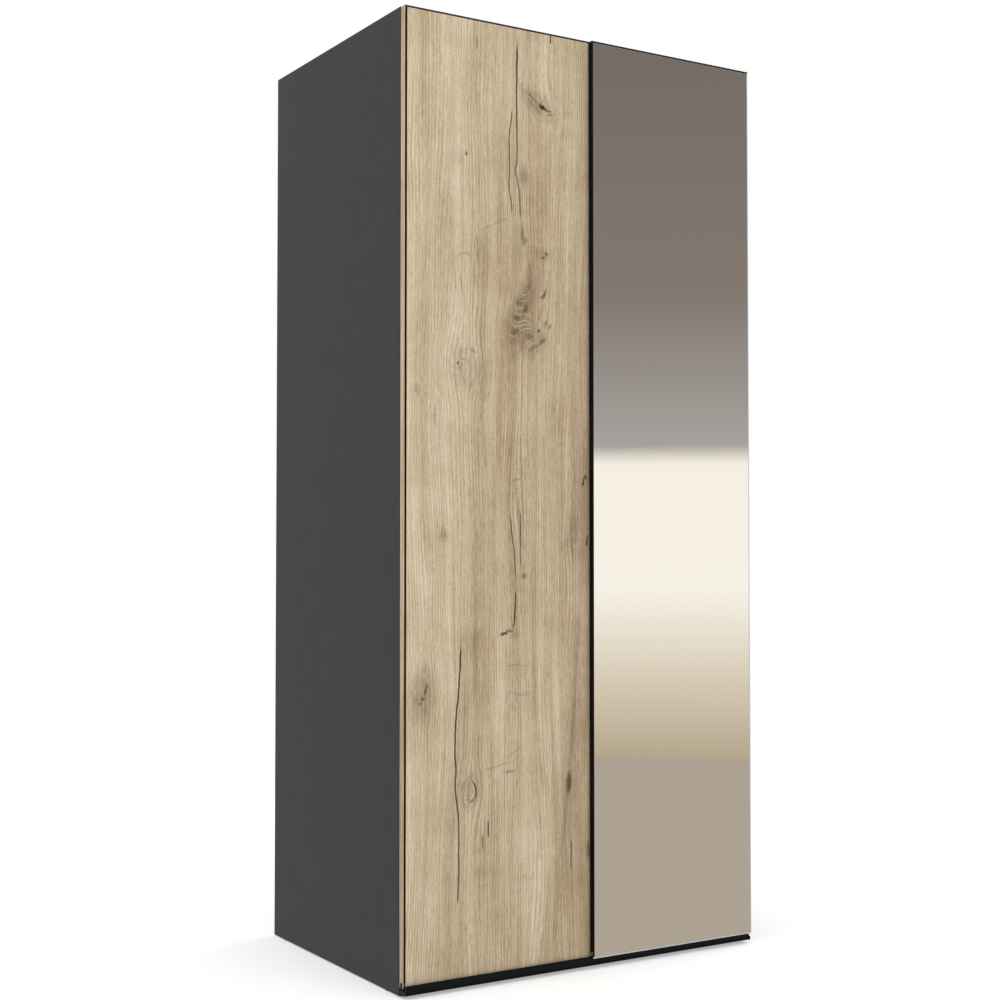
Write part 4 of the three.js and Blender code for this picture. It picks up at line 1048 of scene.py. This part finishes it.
# The finishes of this wardrobe. The boards are matt and even; the profiles are satin, with hairlines.
GRAPHITE = Melamine("graphite_melamine", "graphite")
DARK_BOARD = Melamine("dark_melamine_carrier", "chipboard", "3A3A3A", "343434")
PLINTH_BLACK = Melamine("black_melamine_plinth", "black_plastic", "1F1F20", "1A1A1B", 1.2)
OAK = OakDecor("oak_decor_embossed", "oak_decor")
BLACK_UPRIGHT = Anodised("black_anodised_upright", "black_anodised", "202326", "191B1E", Axis.Z, 0.38)
BLACK_LEVEL = Anodised("black_anodised_level", "black_anodised", "2B2F34", "24282C", Axis.X, 0.42)
DARK_TRIM = Anodised("dark_anodised_trim", "black_anodised", "454A50", "3C4147", Axis.X, 0.42)
SILVER_UPRIGHT = Anodised("silver_anodised_upright", "aluminium", "DCDDDE", "D0D2D4", Axis.Z, bare=0.35)
SILVER_LEVEL = Anodised("silver_anodised_level", "aluminium", "DCDDDE", "D0D2D4", Axis.X, bare=0.35)
# The mirror door's bottom profile, black as its neighbour up to the end of the grip profile.
SILVER_FOOT = Anodised(
    "silver_anodised_foot", "aluminium", "DCDDDE", "D0D2D4", Axis.X, bare=0.35, dark_until=7.3
)
# Fittings: bright zinc, milky nylon that runs without grease, and matt black plastic and rubber.
ZINC = ZincPlated("zinc_plated_steel", "steel")
NYLON = Moulded("natural_nylon", "nylon")
CAP_PLASTIC = Moulded("black_matt_polypropylene", "black_plastic", "151516", "101011", gloss=0.08)
BLACK_PLASTIC = Moulded("black_polypropylene", "black_plastic", "232324", "1C1C1D", roughness=0.5)
RUBBER = Moulded("black_rubber", "rubber", "262626", "1E1E1E", 0.5, 0.82)


# --------------------------------------------------------------------------------------------
# Pieces
# --------------------------------------------------------------------------------------------


def finish_piece(
    name: str,
    shape: bmesh.types.BMesh,
    finish: Finish,
    body: Body | str,
    replaces: tuple[str, ...] = (),
    smooth: bool = True,
) -> bpy.types.Object:
    """Turns a bmesh into a named piece that rides on a body.

    Args:
        name: the piece's name.
        shape: its shape in place; it is freed.
        finish: what it is made of.
        body: the body it rides on.
        replaces: the frame's nodes that it stands for.
        smooth: whether shallow edges shade as round.

    Returns:
        The piece.
    """
    bmesh.ops.remove_doubles(shape, verts=shape.verts, dist=WELD)
    bmesh.ops.recalc_face_normals(shape, faces=shape.faces)
    mesh = bpy.data.meshes.new(name)
    shape.to_mesh(mesh)
    shape.free()
    mesh.materials.append(finish.material())
    if smooth:
        mesh.shade_smooth()
        mesh.set_sharp_from_angle(angle=SMOOTH_BELOW)
    made = bpy.data.objects.new(name, mesh)
    bpy.context.scene.collection.objects.link(made)
    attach(made, body.value if isinstance(body, Body) else body)
    if replaces:
        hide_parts(*replaces)
    LOG.info("%s: %d faces, %s", name, len(mesh.polygons), finish.name)
    return made


def dress_node(name: str, finish: Finish, edge_mm: float = 0.0) -> None:
    """Gives a node of the frame its material, and rounds its edges where a radius is given.

    Args:
        name: the node's name.
        finish: what it is made of.
        edge_mm: the radius of its edges; 0 leaves them sharp.
    """
    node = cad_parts[name]
    node.data.materials.clear()
    node.data.materials.append(finish.material())
    if edge_mm:
        weld = node.modifiers.new("weld", "WELD")
        weld.merge_threshold = WELD
        flat = node.modifiers.new("flat", "DECIMATE")
        flat.decimate_type = "DISSOLVE"
        flat.angle_limit = FLAT_BELOW
        round_edge = node.modifiers.new("edge", "BEVEL")
        round_edge.width = edge_mm * MM
        round_edge.segments = EDGE_STEPS
        round_edge.limit_method = "ANGLE"
        round_edge.angle_limit = SHARP_ABOVE
        round_edge.harden_normals = True
    LOG.info("%s: %s", name, finish.name)


def turned(
    profile: Profile,
    at: Vector,
    axis: Axis,
    steps: int = 48,
    into: bmesh.types.BMesh | None = None,
    facing: int = 1,
) -> bmesh.types.BMesh:
    """Spins a profile about an axis.

    Args:
        profile: (radius, distance along the axis) pairs in mm.
        at: the point on the axis that distances start from.
        axis: the direction of the axis.
        steps: facets round the turn.
        into: a shape to add to; a new one otherwise.
        facing: -1 turns the distances round.

    Returns:
        The shape.
    """
    shape = into or bmesh.new()
    along = Vector(axis.value) * facing
    out = Vector(Axis.Z.value if axis is Axis.Y else Axis.Y.value)
    verts = [shape.verts.new(at + out * r * MM + along * a * MM) for r, a in profile]
    edges = [shape.edges.new(pair) for pair in zip(verts, verts[1:])]
    bmesh.ops.spin(
        shape,
        geom=verts + edges,
        cent=at,
        axis=along,
        angle=math.tau,
        steps=steps,
        use_merge=True,
        use_duplicate=False,
    )
    bmesh.ops.remove_doubles(shape, verts=shape.verts, dist=WELD)
    return shape


def board(
    low: Vector, high: Vector, edge_mm: float, into: bmesh.types.BMesh | None = None
) -> bmesh.types.BMesh:
    """A board between two corners, with its edges rounded.

    Args:
        low: its corner with the lowest X, Y and Z.
        high: the opposite corner.
        edge_mm: the radius of its edges.
        into: a shape to add to; a new one otherwise.

    Returns:
        The shape.
    """
    shape = into or bmesh.new()
    verts = bmesh.ops.create_cube(shape, size=1.0)["verts"]
    bmesh.ops.scale(shape, vec=high - low, verts=verts)
    bmesh.ops.translate(shape, vec=(low + high) / 2, verts=verts)
    round_edges(shape, {edge for vert in verts for edge in vert.link_edges}, edge_mm)
    return shape


def round_edges(shape: bmesh.types.BMesh, edges: Iterable[bmesh.types.BMEdge], edge_mm: float) -> None:
    """Rounds edges to a radius.

    Args:
        shape: the shape that the edges are on.
        edges: the edges.
        edge_mm: the radius in mm.
    """
    bmesh.ops.bevel(
        shape,
        geom=list(edges),
        offset=edge_mm * MM,
        segments=EDGE_STEPS,
        profile=0.5,
        affect="EDGES",
        material=-1,
    )


def prism(section: list[Span], start: float, end: float, edge_mm: float) -> bmesh.types.BMesh:
    """A profile extruded along X.

    Args:
        section: the corners (y, z) of the profile, in order, in metres.
        start: X of its first end.
        end: X of its other end.
        edge_mm: radius of its long edges.

    Returns:
        The shape.
    """
    shape = bmesh.new()
    cap = shape.faces.new([shape.verts.new((start, y, z)) for y, z in section])
    made = bmesh.ops.extrude_face_region(shape, geom=[cap], use_keep_orig=True)["geom"]
    moved = [part for part in made if isinstance(part, bmesh.types.BMVert)]
    bmesh.ops.translate(shape, vec=(end - start, 0, 0), verts=moved)
    long_edges = [e for e in shape.edges if abs(e.verts[0].co.x - e.verts[1].co.x) > MM]
    round_edges(shape, long_edges, edge_mm)
    return shape


@dataclass(frozen=True)
class Screw:
    """A screw head with a six-lobed drive; the shank is inside the board and isn't made."""

    radius: float = 4.2  # mm
    height: float = 2.2
    drive: float = 1.9  # radius of the drive
    sunk: float = 1.2  # depth of the drive
    lobe: float = 0.16  # how far its six lobes stand out, as a share of the radius
    steps: int = 24

    def profile(self) -> Profile:
        """The head's outline from its seat to the floor of the drive.

        Returns:
            Pairs of radius and height in mm.
        """
        r, h = self.radius, self.height
        return (
            (0.0, 0.0), (r, 0.0), (r, 0.25 * h), (0.93 * r, 0.62 * h), (0.76 * r, 0.88 * h),
            (0.55 * r, h), (self.drive, h), (self.drive * 0.94, h - self.sunk), (0.0, h - self.sunk),
        )

    def add_to(self, shape: bmesh.types.BMesh, at: Vector, axis: Axis, facing: int) -> None:
        """Adds a head to a shape.

        Args:
            shape: the shape to add to.
            at: the middle of the head's seat.
            axis: the axis that the screw lies on.
            facing: 1 where the head faces along the axis, -1 where it faces against it.
        """
        head = turned(self.profile(), at, axis, self.steps, facing=facing)
        along = Vector(axis.value)
        for vert in head.verts:
            arm = vert.co - at
            arm -= along * arm.dot(along)
            if 0.4 * self.drive * MM < arm.length < 1.05 * self.drive * MM:
                first = Vector(axis.value[1:] + axis.value[:1])
                second = Vector(axis.value[2:] + axis.value[:2])
                angle = math.atan2(arm.dot(first), arm.dot(second))
                vert.co += arm * self.lobe * math.cos(6 * angle)
        spare = bpy.data.meshes.new("head")
        head.to_mesh(spare)
        head.free()
        shape.from_mesh(spare)
        bpy.data.meshes.remove(spare)


CAM = Screw(7.5, 0.4, 3.0, 0.3)
CONNECTOR = Screw(4.5, 0.5, 2.2, 0.4)
TRACK_SCREW = Screw(4.0, 1.6, 1.8, 1.0)
PAN_HEAD = Screw()
LOW_HEAD = Screw(3.9, 0.9, 1.7, 0.6)


# --------------------------------------------------------------------------------------------
# Sub-assemblies
# --------------------------------------------------------------------------------------------


@dataclass(frozen=True)
class Shelf:
    """A loose shelf on four steel pins, in place of its node."""

    node: str
    pin_sunk: float = 8.0  # mm of the pin inside the panel
    play: float = 0.75  # between the board's end and the panel
    pin_reach: float = 9.0
    pin_radius: float = 2.5
    pin_steps: int = 24
    collar: float = 4.0  # radius of the pin's collar
    thickness: float = 16.0
    edge_mm: float = 0.8

    def build(self, rows: Span) -> None:
        """Makes the board and its pins.

        Args:
            rows: Y of the two drilled rows that the pins stand in.
        """
        low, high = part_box(self.node)
        inset = (self.pin_sunk + self.play) * MM
        underside = high.z - self.thickness * MM
        first = Vector((low.x + inset, low.y, underside))
        last = Vector((high.x - inset, high.y, high.z))
        shape = board(first, last, self.edge_mm)
        finish_piece(f"{self.node}_board", shape, GRAPHITE, Body.CARCASS, (self.node,))
        pins = bmesh.new()
        z = low.z + self.pin_radius * MM
        face = self.pin_sunk
        whole = face + self.pin_reach
        profile = (
            (0.0, 0.0), (2.0, 0.0), (self.pin_radius, 0.5), (self.pin_radius, face),
            (self.collar, face), (self.collar, face + 1.0), (self.pin_radius, face + 1.2),
            (self.pin_radius, whole - 0.6), (1.9, whole), (0.0, whole),
        )
        for x, facing in ((low.x, 1), (high.x, -1)):
            for y in rows:
                turned(profile, Vector((x, y, z)), Axis.X, self.pin_steps, pins, facing)
        finish_piece(f"{self.node}_pins", pins, ZINC, Body.CARCASS)


@dataclass(frozen=True)
class Carcass:
    """The fixed body: boards, back, plinth, shelves, rail, glides, track, stops and bottom guide."""

    edge_mm: float = 0.8
    row_inset: float = 37.0  # mm from the front and the back panel to a row of holes
    shelves: tuple[str, ...] = ("shelf_1", "shelf_2", "shelf_3", "shelf_4", "hat_shelf")
    cam_inset: float = 34.0
    cam_row: float = 70.0  # from the front and the rear edge of the top panel
    nail_pitch: float = 90.0
    nail_inset: float = 8.0
    nail_end: float = 24.0  # from the back's upright edge to the last nail
    nail_head: Profile = ((0.0, 0.0), (1.9, 0.0), (1.7, 0.35), (1.0, 0.6), (0.0, 0.7))
    nail_steps: int = 10
    guide_foot: float = 6.0  # mm from the foot of the guide's flange to the underside of its foot
    guide_wall: float = 2.0
    guide_flange: float = 14.25
    guide_edge: float = 0.25
    front_fin: float = 26.25  # fin tips above the foot of the flange
    rear_fin: float = 26.5
    guide_cap: float = 1.5  # the rail's bare end that a cap covers
    cap_thickness: float = 1.35
    plug_root: float = 1.2  # where a cap's plugs start, inside the cap
    plug_depth: float = 12.0
    plug_play: float = 0.1
    track_web: float = 2.0
    track_screws: int = 5
    track_screw_inset: float = 90.0

    def dress(self) -> None:
        """Gives the frame's carcass nodes their finishes."""
        boards = ("side_panel_left", "side_panel_right", "centre_partition", "top_panel", "bottom_panel")
        for name in (*boards, "plinth_rear"):
            dress_node(name, GRAPHITE, self.edge_mm)
        dress_node("plinth_front", PLINTH_BLACK, self.edge_mm)
        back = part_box("back_panel_left")
        hardboard = Fibreboard("lacquered_hardboard", "hardboard", (back[0].y + back[1].y) / 2 / MM)
        for word in ("left", "right"):
            dress_node(f"back_panel_{word}", hardboard, 0.2)
            dress_node(f"rail_socket_{word}", BLACK_PLASTIC, 0.4)
            dress_node(f"track_stop_{word}", BLACK_PLASTIC, 0.8)
            dress_node(f"stop_buffer_{word}", RUBBER, 0.4)
            for end in ("front", "rear"):
                dress_node(f"floor_glide_{end}_{word}", BLACK_PLASTIC)
        dress_node("back_panel_joiner", BLACK_PLASTIC, 0.2)
        dress_node("clothes_rail", ZINC)
        dress_node("top_track", SILVER_LEVEL, 0.2)

    def build(self) -> None:
        """Makes the shelves and the small fittings."""
        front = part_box("side_panel_left")[0].y
        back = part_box("back_panel_left")[0].y
        rows = (front + self.row_inset * MM, back - self.row_inset * MM)
        for name in self.shelves:
            Shelf(name).build(rows)
        self.cams()
        self.nails()
        self.screws()
        self.guide()

    def cams(self) -> None:
        """Cam locks in the top panel's ends, and connector screws down into the partition."""
        low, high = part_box("top_panel")
        cams = bmesh.new()
        rows = (low.y + self.cam_row * MM, high.y - self.cam_row * MM)
        for x in (low.x + self.cam_inset * MM, high.x - self.cam_inset * MM):
            for y in rows:
                CAM.add_to(cams, Vector((x, y, high.z)), Axis.Z, 1)
        for y in rows:
            CONNECTOR.add_to(cams, Vector((0.0, y, high.z)), Axis.Z, 1)
        finish_piece("top_panel_cams", cams, ZINC, Body.CARCASS)

    def nails(self) -> None:
        """Nails through the back panels into the top and bottom panels."""
        low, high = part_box("back_panel_left")[0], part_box("back_panel_right")[1]
        nails = bmesh.new()
        reach = high.x - self.nail_end * MM
        count = round(2 * reach / (self.nail_pitch * MM))
        for z in (low.z + self.nail_inset * MM, high.z - self.nail_inset * MM):
            for i in range(count + 1):
                at = Vector((-reach + 2 * reach * i / count, high.y, z))
                turned(self.nail_head, at, Axis.Y, self.nail_steps, nails)
        finish_piece("back_panel_nails", nails, ZINC, Body.CARCASS)

    def screws(self) -> None:
        """Screws that hold the track down."""
        low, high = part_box("top_track")
        beads = (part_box("oak_roller_left"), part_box("mirror_roller_left"))
        y = sum((b[0].y + b[1].y) / 2 for b in beads) / 2
        screws = bmesh.new()
        first = low.x + self.track_screw_inset * MM
        pitch = (high.x - self.track_screw_inset * MM - first) / (self.track_screws - 1)
        for i in range(self.track_screws):
            at = Vector((first + i * pitch, y, low.z + self.track_web * MM))
            TRACK_SCREW.add_to(screws, at, Axis.Z, 1)
        finish_piece("track_screws", screws, ZINC, Body.CARCASS)

    def guide(self) -> None:
        """The bottom guide rail, its front fin lower than its node's, and a cap on either end."""
        low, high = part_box("bottom_guide_rail")
        foot, wall = low.z + self.guide_foot * MM, self.guide_wall * MM
        floor = foot + wall
        flange = high.y - wall
        shoes = (("mirror_guide_shoe_left", self.front_fin), ("oak_guide_shoe_left", self.rear_fin))
        section = [(low.y, foot), (flange, foot), (flange, low.z), (high.y, low.z)]
        section += [(high.y, low.z + self.guide_flange * MM), (flange, low.z + self.guide_flange * MM)]
        section.append((flange, floor))
        fins = []
        for shoe, tip in reversed(shoes):
            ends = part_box(shoe)
            middle = (ends[0].y + ends[1].y) / 2
            fins.append(middle)
            top = low.z + tip * MM
            section += [(middle + wall / 2, floor), (middle + wall / 2, top), (middle - wall / 2, top)]
            section.append((middle - wall / 2, floor))
        section.append((low.y, floor))
        cap = self.guide_cap * MM
        rail = prism(section, low.x + cap, high.x - cap, self.guide_edge)
        whole = ("bottom_guide_rail",)
        finish_piece("bottom_guide_profile", rail, BLACK_LEVEL, Body.CARCASS, whole, False)
        rear, front = fins
        play = self.plug_play * MM
        top = low.z + self.guide_flange * MM
        cover = [(low.y, foot), (flange, low.z), (high.y, low.z), (high.y, top), (low.y, top)]
        for word, x, facing in (("left", low.x, 1), ("right", high.x, -1)):
            plug = prism(cover, x, x + facing * self.cap_thickness * MM, self.guide_edge)
            ends = sorted((x + facing * self.plug_root * MM, x + facing * self.plug_depth * MM))
            for near, far in ((front, rear), (rear, flange + wall / 2)):
                first = Vector((ends[0], near + wall / 2 + play, floor + play))
                last = Vector((ends[1], far - wall / 2 - play, top - play))
                board(first, last, self.guide_edge, plug)
            finish_piece(f"bottom_guide_cap_{word}", plug, CAP_PLASTIC, Body.CARCASS)


@dataclass(frozen=True)
class RunningGear:
    """The rollers, axles and screws of one door's hangers."""

    door: Body
    prefix: str
    strip: float  # mm, thickness of the hanger
    head_outside: bool  # whether the axle's rivet head stands outside the strip
    tread: float = 12.0
    rim: float = 15.0
    width: float = 9.0
    bore: float = 3.25
    slot_spread: float = 34.0  # between the two slots of a hanger
    play: float = 0.25
    shoulder: float = 5.0  # radii of the axle: its shoulder, its journal and its shank
    journal: float = 3.0
    shank: float = 2.5
    rivet: float = 4.2
    bevel: float = 0.6
    rivet_head: float = 1.5  # how far a rivet's head stands out
    roller_steps: int = 72
    axle_steps: int = 36

    def build(self) -> None:
        """Makes both rollers with their axles, and the screws of both hangers."""
        for side in Side:
            self.roller(side)
            self.axle(side)
            self.screws(side)
            dress_node(f"{self.prefix}_hanger_{side.value}", ZINC, 0.3)
            dress_node(f"{self.prefix}_guide_shoe_{side.value}", NYLON, 0.2)

    def roller(self, side: Side) -> None:
        """A grooved nylon roller, turned finer than its node.

        Args:
            side: which of the door's two.
        """
        node = f"{self.prefix}_roller_{side.value}"
        low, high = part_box(node)
        half, tread, rim = self.width / 2, self.tread, self.rim
        near = (
            (self.bore, -half), (5.8, -half), (6.0, 0.2 - half), (6.4, 1.5 - half), (9.4, 1.5 - half),
            (9.9, 0.3 - half), (10.2, -half), (rim - 0.6, -half), (rim - 0.15, 0.15 - half),
            (rim, 0.6 - half), (rim, -3.3), (rim - 0.3, -3.1), (tread + 0.75, -2.4), (tread + 0.2, -1.8),
            (tread, -1.2),
        )
        far = tuple((r, -a) for r, a in reversed(near))
        profile = (*near, *far, near[0])
        shape = turned(profile, (low + high) / 2, Axis.Y, self.roller_steps)
        finish_piece(f"{node}_wheel", shape, NYLON, node, (node,))

    def axle(self, side: Side) -> None:
        """A riveted steel axle, turned finer than its node.

        Args:
            side: which of the door's two.
        """
        node = f"{self.prefix}_axle_{side.value}"
        low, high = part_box(node)
        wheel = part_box(f"{self.prefix}_roller_{side.value}")
        at = Vector(((wheel[0].x + wheel[1].x) / 2, low.y, (wheel[0].z + wheel[1].z) / 2))
        end = (high.y - low.y) / MM
        near = (wheel[0].y - low.y) / MM - self.play
        far = (wheel[1].y - low.y) / MM + self.play
        shank, shoulder, rivet, bevel = self.shank, self.shoulder, self.rivet, self.bevel
        strip = self.strip + self.play
        head = ((0.0, 0.0), (shank, 0.0))
        if self.head_outside:
            strip += self.rivet_head
            head = (
                (0.0, 0.0), (rivet, 0.0), (shoulder, bevel), (shoulder, self.rivet_head),
                (shank, self.rivet_head),
            )
        profile = (
            *head, (shank, strip), (shoulder, strip), (shoulder, near), (self.journal, near),
            (self.journal, far), (shoulder, far), (shoulder, end - bevel if end - far > bevel else end),
            (rivet, end), (0.0, end),
        )
        shape = turned(profile, at, Axis.Y, self.axle_steps)
        finish_piece(f"{node}_pin", shape, ZINC, self.door, (node,))

    def screws(self, side: Side) -> None:
        """Two screws through the slots of a hanger's front leg.

        Args:
            side: which of the door's two hangers.
        """
        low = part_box(f"{self.prefix}_hanger_{side.value}")[0]
        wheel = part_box(f"{self.prefix}_roller_{side.value}")
        x, z = (wheel[0].x + wheel[1].x) / 2, (wheel[0].z + wheel[1].z) / 2
        screws = bmesh.new()
        head = LOW_HEAD if self.head_outside else PAN_HEAD
        for shift in (-0.5, 0.5):
            at = Vector((x + shift * self.slot_spread * MM, low.y + self.strip * MM, z))
            head.add_to(screws, at, Axis.Y, 1)
        finish_piece(f"{self.prefix}_hanger_screws_{side.value}", screws, ZINC, self.door)


@dataclass(frozen=True)
class OakDoor:
    """The left door: a board in oak decor with an inlaid strip, a top trim and a bottom channel."""

    gear: RunningGear = RunningGear(Body.OAK_DOOR, "oak", 3.0, False)
    edge_mm: float = 0.5

    def build(self) -> None:
        """Dresses the panel and makes the running gear."""
        dress_node("oak_board", OAK, self.edge_mm)
        dress_node("oak_inlay_strip", BLACK_UPRIGHT, 0.15)
        dress_node("oak_top_trim", DARK_TRIM, 0.3)
        dress_node("oak_bottom_channel", BLACK_LEVEL, 0.2)
        self.gear.build()


@dataclass(frozen=True)
class MirrorDoor:
    """The right door: a mirror on a dark board, in thin metal profiles."""

    gear: RunningGear = RunningGear(Body.MIRROR_DOOR, "mirror", 1.5, True)
    edge_mm: float = 0.5

    def build(self) -> None:
        """Dresses the panel and makes the running gear."""
        low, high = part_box("mirror_glass")
        glass = SilveredGlass("silvered_float_glass", "mirror", low.y / MM, high.y / MM)
        dress_node("mirror_glass", glass, 0.4)
        dress_node("mirror_board", DARK_BOARD, self.edge_mm)
        dress_node("mirror_grip_profile", BLACK_UPRIGHT, 0.3)
        dress_node("mirror_edge_trim", SILVER_UPRIGHT, 0.3)
        dress_node("mirror_top_trim", DARK_TRIM, 0.3)
        dress_node("mirror_bottom_channel", SILVER_FOOT, 0.2)
        self.gear.build()


# --------------------------------------------------------------------------------------------
# Studio
# --------------------------------------------------------------------------------------------


@dataclass(frozen=True)
class Studio:
    """A pale floor, a glowing ring of toned card that paints a room's reflection into the mirror, soft lamps
    and the camera.
    """

    camera_at: Point = (-2.1421, -3.3988, 0.9657)
    camera_yaw: float = 31.849  # degrees from +Y towards +X
    camera_pitch: float = 1.769
    lens: float = 57.871  # mm
    sensor: float = 36.0  # mm
    far: float = 100.0
    lamps_face: Point = (0.0, 0.0, 1.1)
    lamp_size: float = 4.0
    lamp_rows: tuple[tuple[str, Point, float], ...] = (  # name, place and watts
        ("lamp_front", (0.8, -6.0, 3.2), 130.0),
        ("lamp_left", (-6.0, -0.8, 3.0), 130.0),
        ("lamp_right", (6.0, 0.8, 3.0), 120.0),
        ("lamp_rear", (-0.8, 6.0, 3.2), 120.0),
        ("lamp_top", (0.0, -0.5, 6.5), 110.0),
    )
    floor_radius: float = 14.0
    card_radius: float = 4.1
    card_height: float = 3.9
    world_level: float = 0.52
    white: str = "FFFFFF"
    floor_tone: str = "DCDCDC"
    floor_lift: float = 0.36  # added for the camera, so that the open floor comes out white
    open_from: float = 1.6  # radius past which the camera sees the floor turn to plain white
    open_to: float = 3.2
    # painted reflection: the glowing tone that reflections see on the floor ahead of the wardrobe
    reflected_floor_tone: str = "B4AA9B"
    card_from: float = 0.35  # from here forwards, reflections see the floor in a flat painted reflection tone
    # painted reflection of a room for the mirror: darker at the foot as painted shade, cream below, taupe
    # above
    reflection_stops: tuple[tuple[float, str], ...] = (
        (0.0, "BBAD95"), (0.09, "DDD2BD"), (0.2, "FFFCF2"), (0.35, "FFFAEE"),
        (0.372, "ADA9A6"), (0.55, "877E77"), (1.0, "726A66"),
    )

    def build(self) -> None:
        """Makes everything round the wardrobe."""
        self.world()
        self.floor()
        self.card()
        self.lamps()
        self.camera()
        bpy.context.scene.view_settings.view_transform = "Standard"

    def world(self) -> None:
        """White where it is seen, reflected or looked at through glass; a plain level otherwise."""
        world = bpy.data.worlds.new("studio")
        bpy.context.scene.world = world
        nodes = Nodes(world, "Background")
        camera, glossy, through = (
            nodes.add("LightPath", out=f"Is {ray} Ray") for ray in ("Camera", "Glossy", "Transmission")
        )
        either = nodes.add("Math", {0: camera, 1: glossy}, operation="MAXIMUM")
        seen = nodes.add("Math", {0: either, 1: through}, operation="MAXIMUM")
        level = nodes.add("MapRange", {"Value": seen, "To Min": self.world_level})
        nodes.feed(Color=linear(self.white), Strength=level)

    def floor(self) -> None:
        """A pale floor that keeps the shadow and comes out white where it is open; reflections see it as a
        flat glow, a painted warm tone ahead of the wardrobe and white elsewhere.
        """
        graph = Graph("studio_floor")
        ray = graph.add("LightPath", out="Is Camera Ray")
        mirrored = graph.add("LightPath", out="Is Glossy Ray")
        lift = graph.add("Math", {0: ray, 1: self.floor_lift}, operation="MULTIPLY")
        glow = graph.add("Emission", {"Color": linear(self.white), "Strength": lift})
        matt = graph.add("BsdfDiffuse", {"Color": linear(self.floor_tone)})
        near = graph.add("AddShader", {0: glow, 1: matt})
        away = graph.add("VectorMath", {0: graph.place}, out="Value", operation="LENGTH")
        fade = graph.add(
            "MapRange",
            {"Value": away, "From Min": self.open_from / MM, "From Max": self.open_to / MM},
            interpolation_type="SMOOTHSTEP",
        )
        open_share = graph.add("Math", {0: fade, 1: ray}, operation="MULTIPLY")
        plain = graph.add("Emission", {"Color": linear(self.white)})
        lit = graph.add("MixShader", {0: open_share, 1: near, 2: plain})
        # painted reflection: ahead of the wardrobe, reflections see the floor in a flat warm tone
        ahead = graph.add("Math", {0: graph.y, 1: -self.card_from / MM}, operation="LESS_THAN")
        tones = {0: ahead, MIX_A: linear(self.white), MIX_B: linear(self.reflected_floor_tone)}
        tone = graph.add("Mix", tones, **MIXED)
        painted_reflection = graph.add("Emission", {"Color": tone})
        both = graph.add("MixShader", {0: mirrored, 1: lit, 2: painted_reflection})
        graph.tree.links.new(both, graph.tree.nodes["Material Output"].inputs["Surface"])
        shape = bmesh.new()
        bmesh.ops.create_circle(shape, cap_ends=True, segments=64, radius=self.floor_radius)
        self.stage_piece("floor", shape, graph.material)

    def card(self) -> None:
        """A glowing ring of card that only reflections see, a painted reflection of a room: darker at its
        foot as painted shade, pale below, taupe above.
        """
        graph = Graph("studio_reflection_card")
        height = graph.add("MapRange", {"Value": graph.z, "From Max": self.card_height / MM})
        tone = graph.add("ValToRGB", {0: height}, stops=self.reflection_stops)
        glow = graph.add("Emission", {"Color": tone})
        graph.tree.links.new(glow, graph.tree.nodes["Material Output"].inputs["Surface"])
        shape = bmesh.new()
        bmesh.ops.create_cone(
            shape,
            cap_ends=False,
            segments=96,
            radius1=self.card_radius,
            radius2=self.card_radius,
            depth=self.card_height,
        )
        bmesh.ops.translate(shape, vec=(0, 0, self.card_height / 2), verts=shape.verts)
        parts = shape.verts[:] + shape.edges[:] + shape.faces[:]
        bmesh.ops.bisect_plane(shape, geom=parts, plane_co=(0, 0, 0), plane_no=(0, 1, 0), clear_outer=True)
        ring = self.stage_piece("card", shape, graph.material)
        ring.visible_camera = ring.visible_diffuse = ring.visible_shadow = False
        ring.visible_transmission = ring.visible_volume_scatter = False

    @staticmethod
    def stage_piece(name: str, shape: bmesh.types.BMesh, material: bpy.types.Material) -> bpy.types.Object:
        """Turns a shape into a part of the stage.

        Args:
            name: its name.
            shape: its shape in place; it is freed.
            material: what it is made of.

        Returns:
            The object.
        """
        mesh = bpy.data.meshes.new(name)
        shape.to_mesh(mesh)
        shape.free()
        mesh.materials.append(material)
        made = bpy.data.objects.new(name, mesh)
        bpy.context.scene.collection.objects.link(made)
        return made

    def lamps(self) -> None:
        """Large soft lamps on all four sides and above."""
        middle = Vector(self.lamps_face)
        for name, at, power in self.lamp_rows:
            lamp = bpy.data.lights.new(name, "AREA")
            lamp.size = self.lamp_size
            lamp.energy = power
            made = bpy.data.objects.new(name, lamp)
            made.location = at
            made.rotation_euler = (middle - Vector(at)).to_track_quat("-Z", "Y").to_euler()
            made.visible_camera = made.visible_glossy = False
            bpy.context.scene.collection.objects.link(made)

    def camera(self) -> None:
        """The camera, nearly level, a little to the left of the front."""
        camera = bpy.data.cameras.new("camera")
        camera.lens = self.lens
        camera.sensor_width = self.sensor
        camera.clip_end = self.far
        made = bpy.data.objects.new("camera", camera)
        made.location = self.camera_at
        made.rotation_euler = (math.radians(90 + self.camera_pitch), 0.0, -math.radians(self.camera_yaw))
        bpy.context.scene.collection.objects.link(made)
        bpy.context.scene.camera = made


def main() -> None:
    """Dresses the wardrobe, adds its fittings and sets the studio up."""
    logging.basicConfig(level=logging.INFO, format="%(message)s")
    carcass = Carcass()
    carcass.dress()
    carcass.build()
    OakDoor().build()
    MirrorDoor().build()
    Studio().build()
    bpy.context.view_layer.update()


if __name__ == "__main__":
    main()
